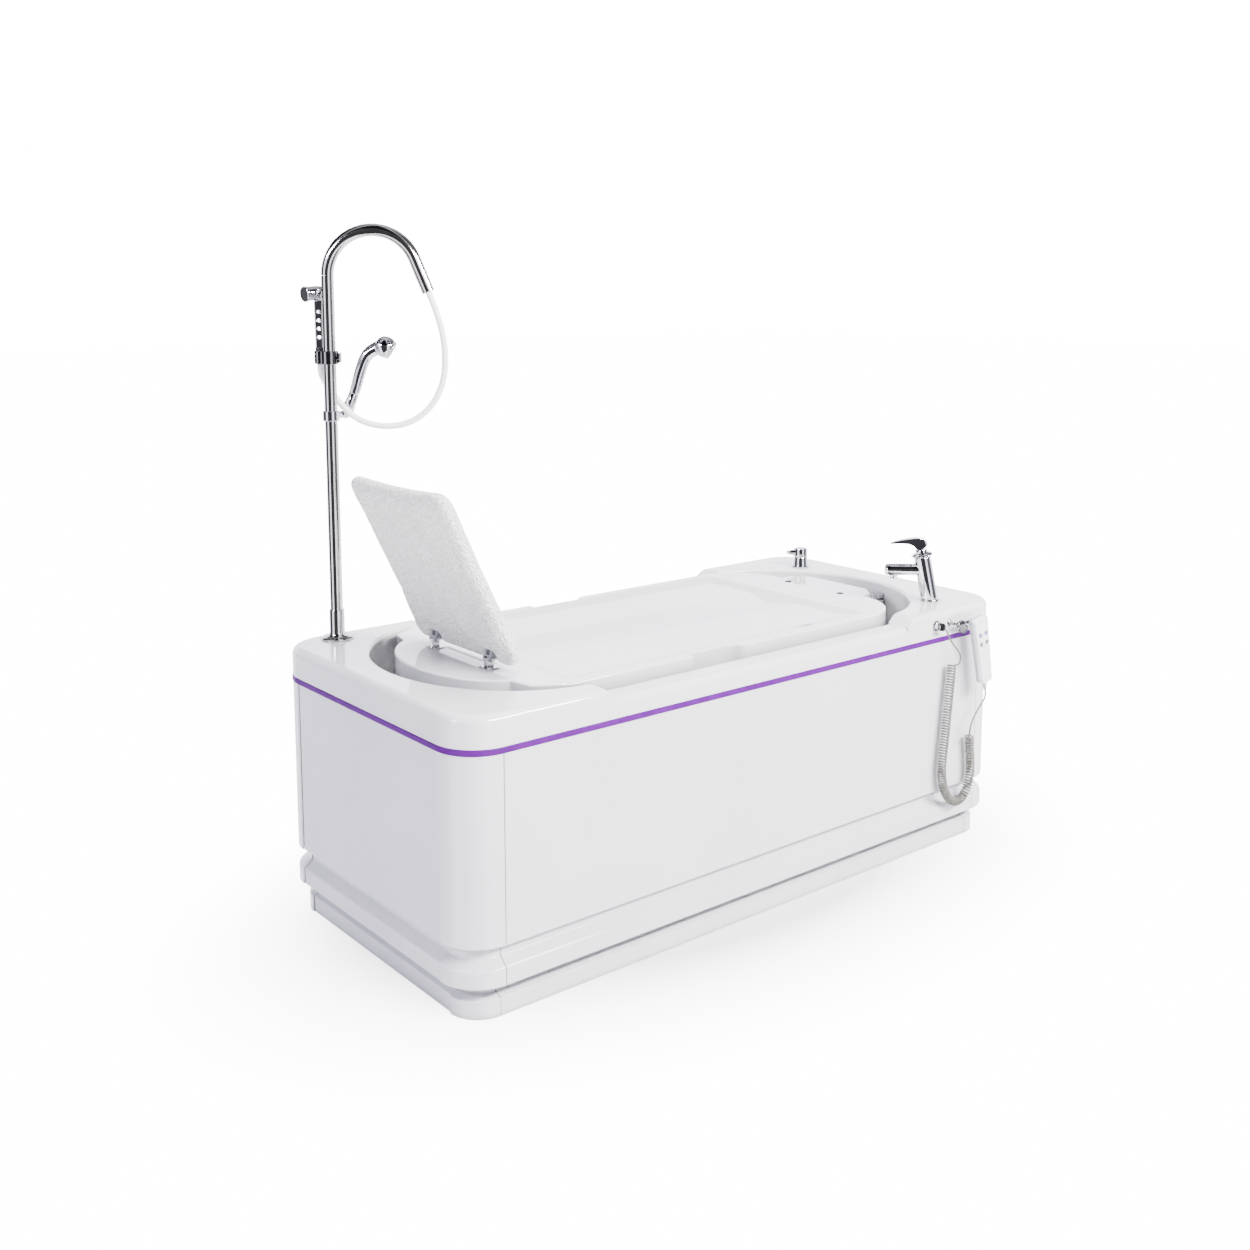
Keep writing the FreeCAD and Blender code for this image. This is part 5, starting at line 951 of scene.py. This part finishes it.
finishPiece(joined([mixerBody, tip, base]), "mixer_column", chrome, "bath", ["mixer_body"], 45)

cap = turned(mixer["cap"], 72)
tongue = block((0.0116, 0.0096, 0.016), (0, 0, 0.026), 0.0012)
eye = turnedAt(mixer["hinge"], (0, 1, 0), mixer["eye"], 40)
hingePin = turnedAt(mixer["hinge"], (0, 1, 0), mixer["pin"], 24)
finishPiece(moved(joined([cap, tongue, eye, hingePin]), capFrame), "mixer_crown", chrome, "mixer_swivel",
            ["mixer_cap"])

beak = {
    "sections": ((-0.0175, 0.0302, 0.043, 0.0145), (-0.0135, 0.0258, 0.0478, 0.0155),
        (0.0, 0.0204, 0.0522, 0.0162), (0.0125, 0.0222, 0.0542, 0.016), (0.019, 0.0335, 0.0548, 0.0152),
        (0.03, 0.041, 0.0555, 0.0138), (0.046, 0.0462, 0.0558, 0.012), (0.062, 0.0488, 0.0552, 0.01),
        (0.078, 0.0497, 0.0532, 0.0072)),
    "narrow": 0.82,
}


def beakLever():
    # a box drawn out along the beak; each section has a place, an underside, a top and half a width
    sections = beak["sections"]
    startX, low, high, half = sections[0]
    middle = (low + high) / 2
    piece = block((0.001, 2 * half, high - low), (startX, 0, middle))
    pickFaces(openMesh(piece), lambda face: face.normal.x > 0.9)
    for before, after in zip(sections, sections[1:]):
        bpy.ops.mesh.extrude_region_move(TRANSFORM_OT_translate={"value": (after[0] - before[0], 0, 0)})
    mesh = bmesh.from_edit_mesh(piece.data)
    for vertex in mesh.verts:
        low, high, half = min(sections, key=lambda section: abs(section[0] - vertex.co.x))[1:]
        upper = vertex.co.z > middle
        vertex.co.z = high if upper else low
        vertex.co.y = copysign(half * (beak["narrow"] if upper else 1), vertex.co.y)
    bmesh.update_edit_mesh(piece.data)
    bpy.ops.mesh.select_all(action="SELECT")
    bpy.ops.mesh.bevel(offset=0.0016, segments=2, affect="EDGES")
    closeMesh()
    return addModifier(piece, "SUBSURF", levels=2, render_levels=2)


leverPiece = drilled(beakLever(), block((0.0285, 0.0106, 0.024), (0, 0, 0.0285)))
leverPiece = drilled(leverPiece, turnedAt(mixer["hinge"], (0, 1, 0), mixer["bore"], 32))
finishPiece(moved(leverPiece, capFrame), "mixer_beak", chrome, "mixer_lever", ["mixer_lever"], 40)
print("mixer built")


# diverter on the far corner

diverter = {
    "pointerAt": 0.0438,
    "pillar": ((25.8, 0.2), (27, 1), (27, 2.8), (26.2, 3.8), (22.5, 4.2), (21.8, 6), (20.2, 28.5),
        (19.6, 29.8), (9, 30), (8.8, 47.5), (8, 48)),
    "knob": ((19.2, 30.4), (20, 31.2), (20, 53.8), (19.2, 56.2), (17.5, 57.3), (13.5, 57.1), (12.8, 56.4),
        (2, 56.2)),
    "pointer": ((7.5, 4), (8.8, 12), (8.8, 22), (7.2, 33), (5, 40.5), (2.4, 43.5)),
    "bore": ((9.1, 20), (9.1, 49.5)),
}
finishPiece(moved(turned(diverter["pillar"]), diverterFrame), "diverter_foot", chrome, "bath",
            ["diverter_body"])
knob = turned(diverter["knob"])
pointer = turnedAt((0, 0, diverter["pointerAt"]), (1, 0, 0), diverter["pointer"], 40)
knob = drilled(knob, turned(diverter["bore"], 48))
finishPiece(moved(joined([knob, pointer]), diverterFrame), "diverter_knob", chrome, "diverter",
            ["diverter_handle"])
print("diverter built")


# backrest: a crowned pad in a looped terry sleeve

pad = {
    "low": -0.016, "high": 0.436, "half": 0.206, "thick": 0.03, "middle": 0.021, "corner": 0.036,
    "edge": 0.011, "dish": 0.008, "waist": 0.004, "hinge": 0.115, "held": 0.045, "voxel": 0.005,
    "cap": 0.006, "pressure": 4, "steps": 20,
    "room": ((19, -24), (19, 24)),
}


def shapePad():
    long, wide = pad["high"] - pad["low"], 2 * pad["half"]
    piece = block((long, wide, pad["thick"]), ((pad["low"] + pad["high"]) / 2, 0, pad["middle"]))
    mesh = openMesh(piece, "EDGE")
    pickEdges(mesh, lambda line: abs(line.verts[0].co.z - line.verts[1].co.z) > 0.01)
    bpy.ops.mesh.bevel(offset=pad["corner"], segments=8, affect="EDGES")
    bpy.ops.mesh.select_mode(type="FACE")
    pickFaces(mesh, lambda face: abs(face.normal.z) > 0.9)
    bpy.ops.mesh.bevel(offset=pad["edge"], segments=4, affect="EDGES")
    closeMesh()
    drilled(piece, joined([turnedAt((0, side * pad["hinge"], 0), (0, 1, 0), pad["room"], 40)
                           for side in (-1, 1)]))
    addModifier(piece, "REMESH", mode="VOXEL", voxel_size=pad["voxel"])
    mesh = openMesh(piece, "VERT")
    for vertex in mesh.verts:
        along = (vertex.co.x - pad["low"]) / long
        across = vertex.co.y / pad["half"]
        vertex.co.z += pad["dish"] * across ** 2 * min(1, 3 * along) - 0.002
        vertex.co.x -= pad["waist"] * (1 - across ** 2) * (2 * along - 1)
        vertex.co.y *= 1 - 0.02 * sin(pi * along)
    bmesh.update_edit_mesh(piece.data)
    closeMesh()
    return piece


def puffPad(piece):
    # air pressure swells the sleeve, held at the hinge and limited everywhere
    rest = [vertex.co.copy() for vertex in piece.data.vertices]
    held = piece.vertex_groups.new(name="held")
    for vertex in piece.data.vertices:
        near = min((vertex.co - Vector((0, side * pad["hinge"], 0))).length for side in (-1, 1))
        if near < pad["held"] or vertex.co.x < 0.012:
            held.add([vertex.index], 1.0, "REPLACE")
    choose(piece)
    bpy.ops.object.modifier_add(type="CLOTH")
    cloth = piece.modifiers[-1]
    cloth.settings.use_pressure = True
    cloth.settings.uniform_pressure_force = pad["pressure"]
    cloth.settings.effector_weights.gravity = 0
    cloth.settings.quality = 4
    cloth.settings.vertex_group_mass = "held"
    cloth.point_cache.frame_start, cloth.point_cache.frame_end = 1, pad["steps"]
    for number in range(1, pad["steps"] + 1):
        bpy.context.scene.frame_set(number)
    blown = piece.evaluated_get(bpy.context.evaluated_depsgraph_get()).to_mesh()
    spots = [vertex.co.copy() for vertex in blown.vertices]
    piece.evaluated_get(bpy.context.evaluated_depsgraph_get()).to_mesh_clear()
    bpy.ops.object.modifier_remove(modifier=cloth.name)
    bpy.context.scene.frame_set(1)
    for vertex, start, end in zip(piece.data.vertices, rest, spots):
        move = end - start
        if move.length > pad["cap"]:
            move *= pad["cap"] / move.length
        vertex.co = start + move
    piece.vertex_groups.clear()


padPiece = shapePad()
puffPad(padPiece)
addModifier(padPiece, "SMOOTH", factor=0.5, iterations=4)
addModifier(padPiece, "SUBSURF", levels=1, render_levels=1)
finishPiece(moved(padPiece, padFrame), "backrest_sleeve", terry, "backrest", ["backrest_pad"], 80)
print("backrest padded")


# drain rings in the foot end of the platform

drain = {
    "x": 0.565, "y": 0.1, "top": 0.664,
    "ring": ((8.4, -12), (8.4, 0.1), (10.2, 0.2), (10.2, 0.6), (9.4, 1), (8, 0.6), (7.9, -11.8)),
    "grate": ((7.8, -11.8), (7.8, -1.2), (6.6, -0.8), (6.2, -2.4), (3.2, -2.4), (3, -1.2), (0.8, -1)),
}
for name, side in (("front", -1), ("back", 1)):
    spot = framed((drain["x"], side * drain["y"], drain["top"]))
    for shape, sides in (("ring", 40), ("grate", 32)):
        finishPiece(moved(turned(drain[shape], sides), spot), "drain_" + shape + "_" + name, darkPlastic,
                    "platform")
print("drains fitted")


# moulded shells and small metal parts: the model's own shapes with smooth skins and soft edges

soft = {"panel": 0.0028, "skirt": 0.0022, "plinth": 0.002, "metal": 0.0012}
bead = {"middle": 0.5855, "swell": (1.0009, 1.0019, 1.3)}
skins = [("bath_tub", "tub_skin", 0, tubWhite, "bath"), ("platform", "tray_skin", 0, tubWhite, "platform"),
         ("bead_strip", "bead_skin", 0, violetBead, "bath"),
         ("backrest_brackets", "bracket_skin", soft["metal"], chrome, "platform"),
         ("overflow_cover", "overflow_skin", soft["metal"], brushedSteel, "bath")]
for side in ("back", "head", "front", "foot"):
    skins += [("upper_panel_" + side, "panel_" + side, soft["panel"], panelWhite, "bath"),
              ("mid_panel_" + side, "skirt_" + side, soft["skirt"], panelWhite, "mid_tier")]
for corner in ("foot_back", "head_back", "head_front", "foot_front"):
    skins.append(("upper_corner_" + corner, "post_" + corner, soft["panel"], panelWhite, "bath"))
skins += [("mid_corners", "skirt_corners", soft["skirt"], panelWhite, "mid_tier"),
          ("plinth_panels", "plinth_sides", soft["plinth"], panelWhite, "base"),
          ("plinth_corners", "plinth_bends", soft["plinth"], panelWhite, "base")]


def crispFlats(piece):
    # edges between two broad faces stay sharp, so that each flat keeps its own shade
    openMesh(piece, "EDGE", "SELECT")
    bpy.ops.mesh.dissolve_limited(angle_limit=radians(0.8))
    mesh = bmesh.from_edit_mesh(piece.data)
    pickEdges(mesh, lambda edge: len(edge.link_faces) == 2 and edge.calc_face_angle(0) > radians(4)
              and all(2 * face.calc_area() > 0.005 * face.calc_perimeter() for face in edge.link_faces))
    bpy.ops.mesh.mark_sharp()
    closeMesh()


for node, name, edge, finish, body in skins:
    piece = cadCopy(node)
    if node == "bead_strip":
        # the bead stands a little proud of the rim and the panels
        openMesh(piece, "FACE", "SELECT")
        bpy.ops.transform.resize(value=bead["swell"], center_override=(0, 0, bead["middle"]))
        closeMesh()
    crispFlats(piece)
    if edge:
        addModifier(piece, "BEVEL", width=edge, segments=3, limit_method="ANGLE",
                    angle_limit=radians(40))
    finishPiece(piece, name, finish, body, [node], 30)
    addModifier(piece, "WEIGHTED_NORMAL", keep_sharp=True)
print("skins smoothed")
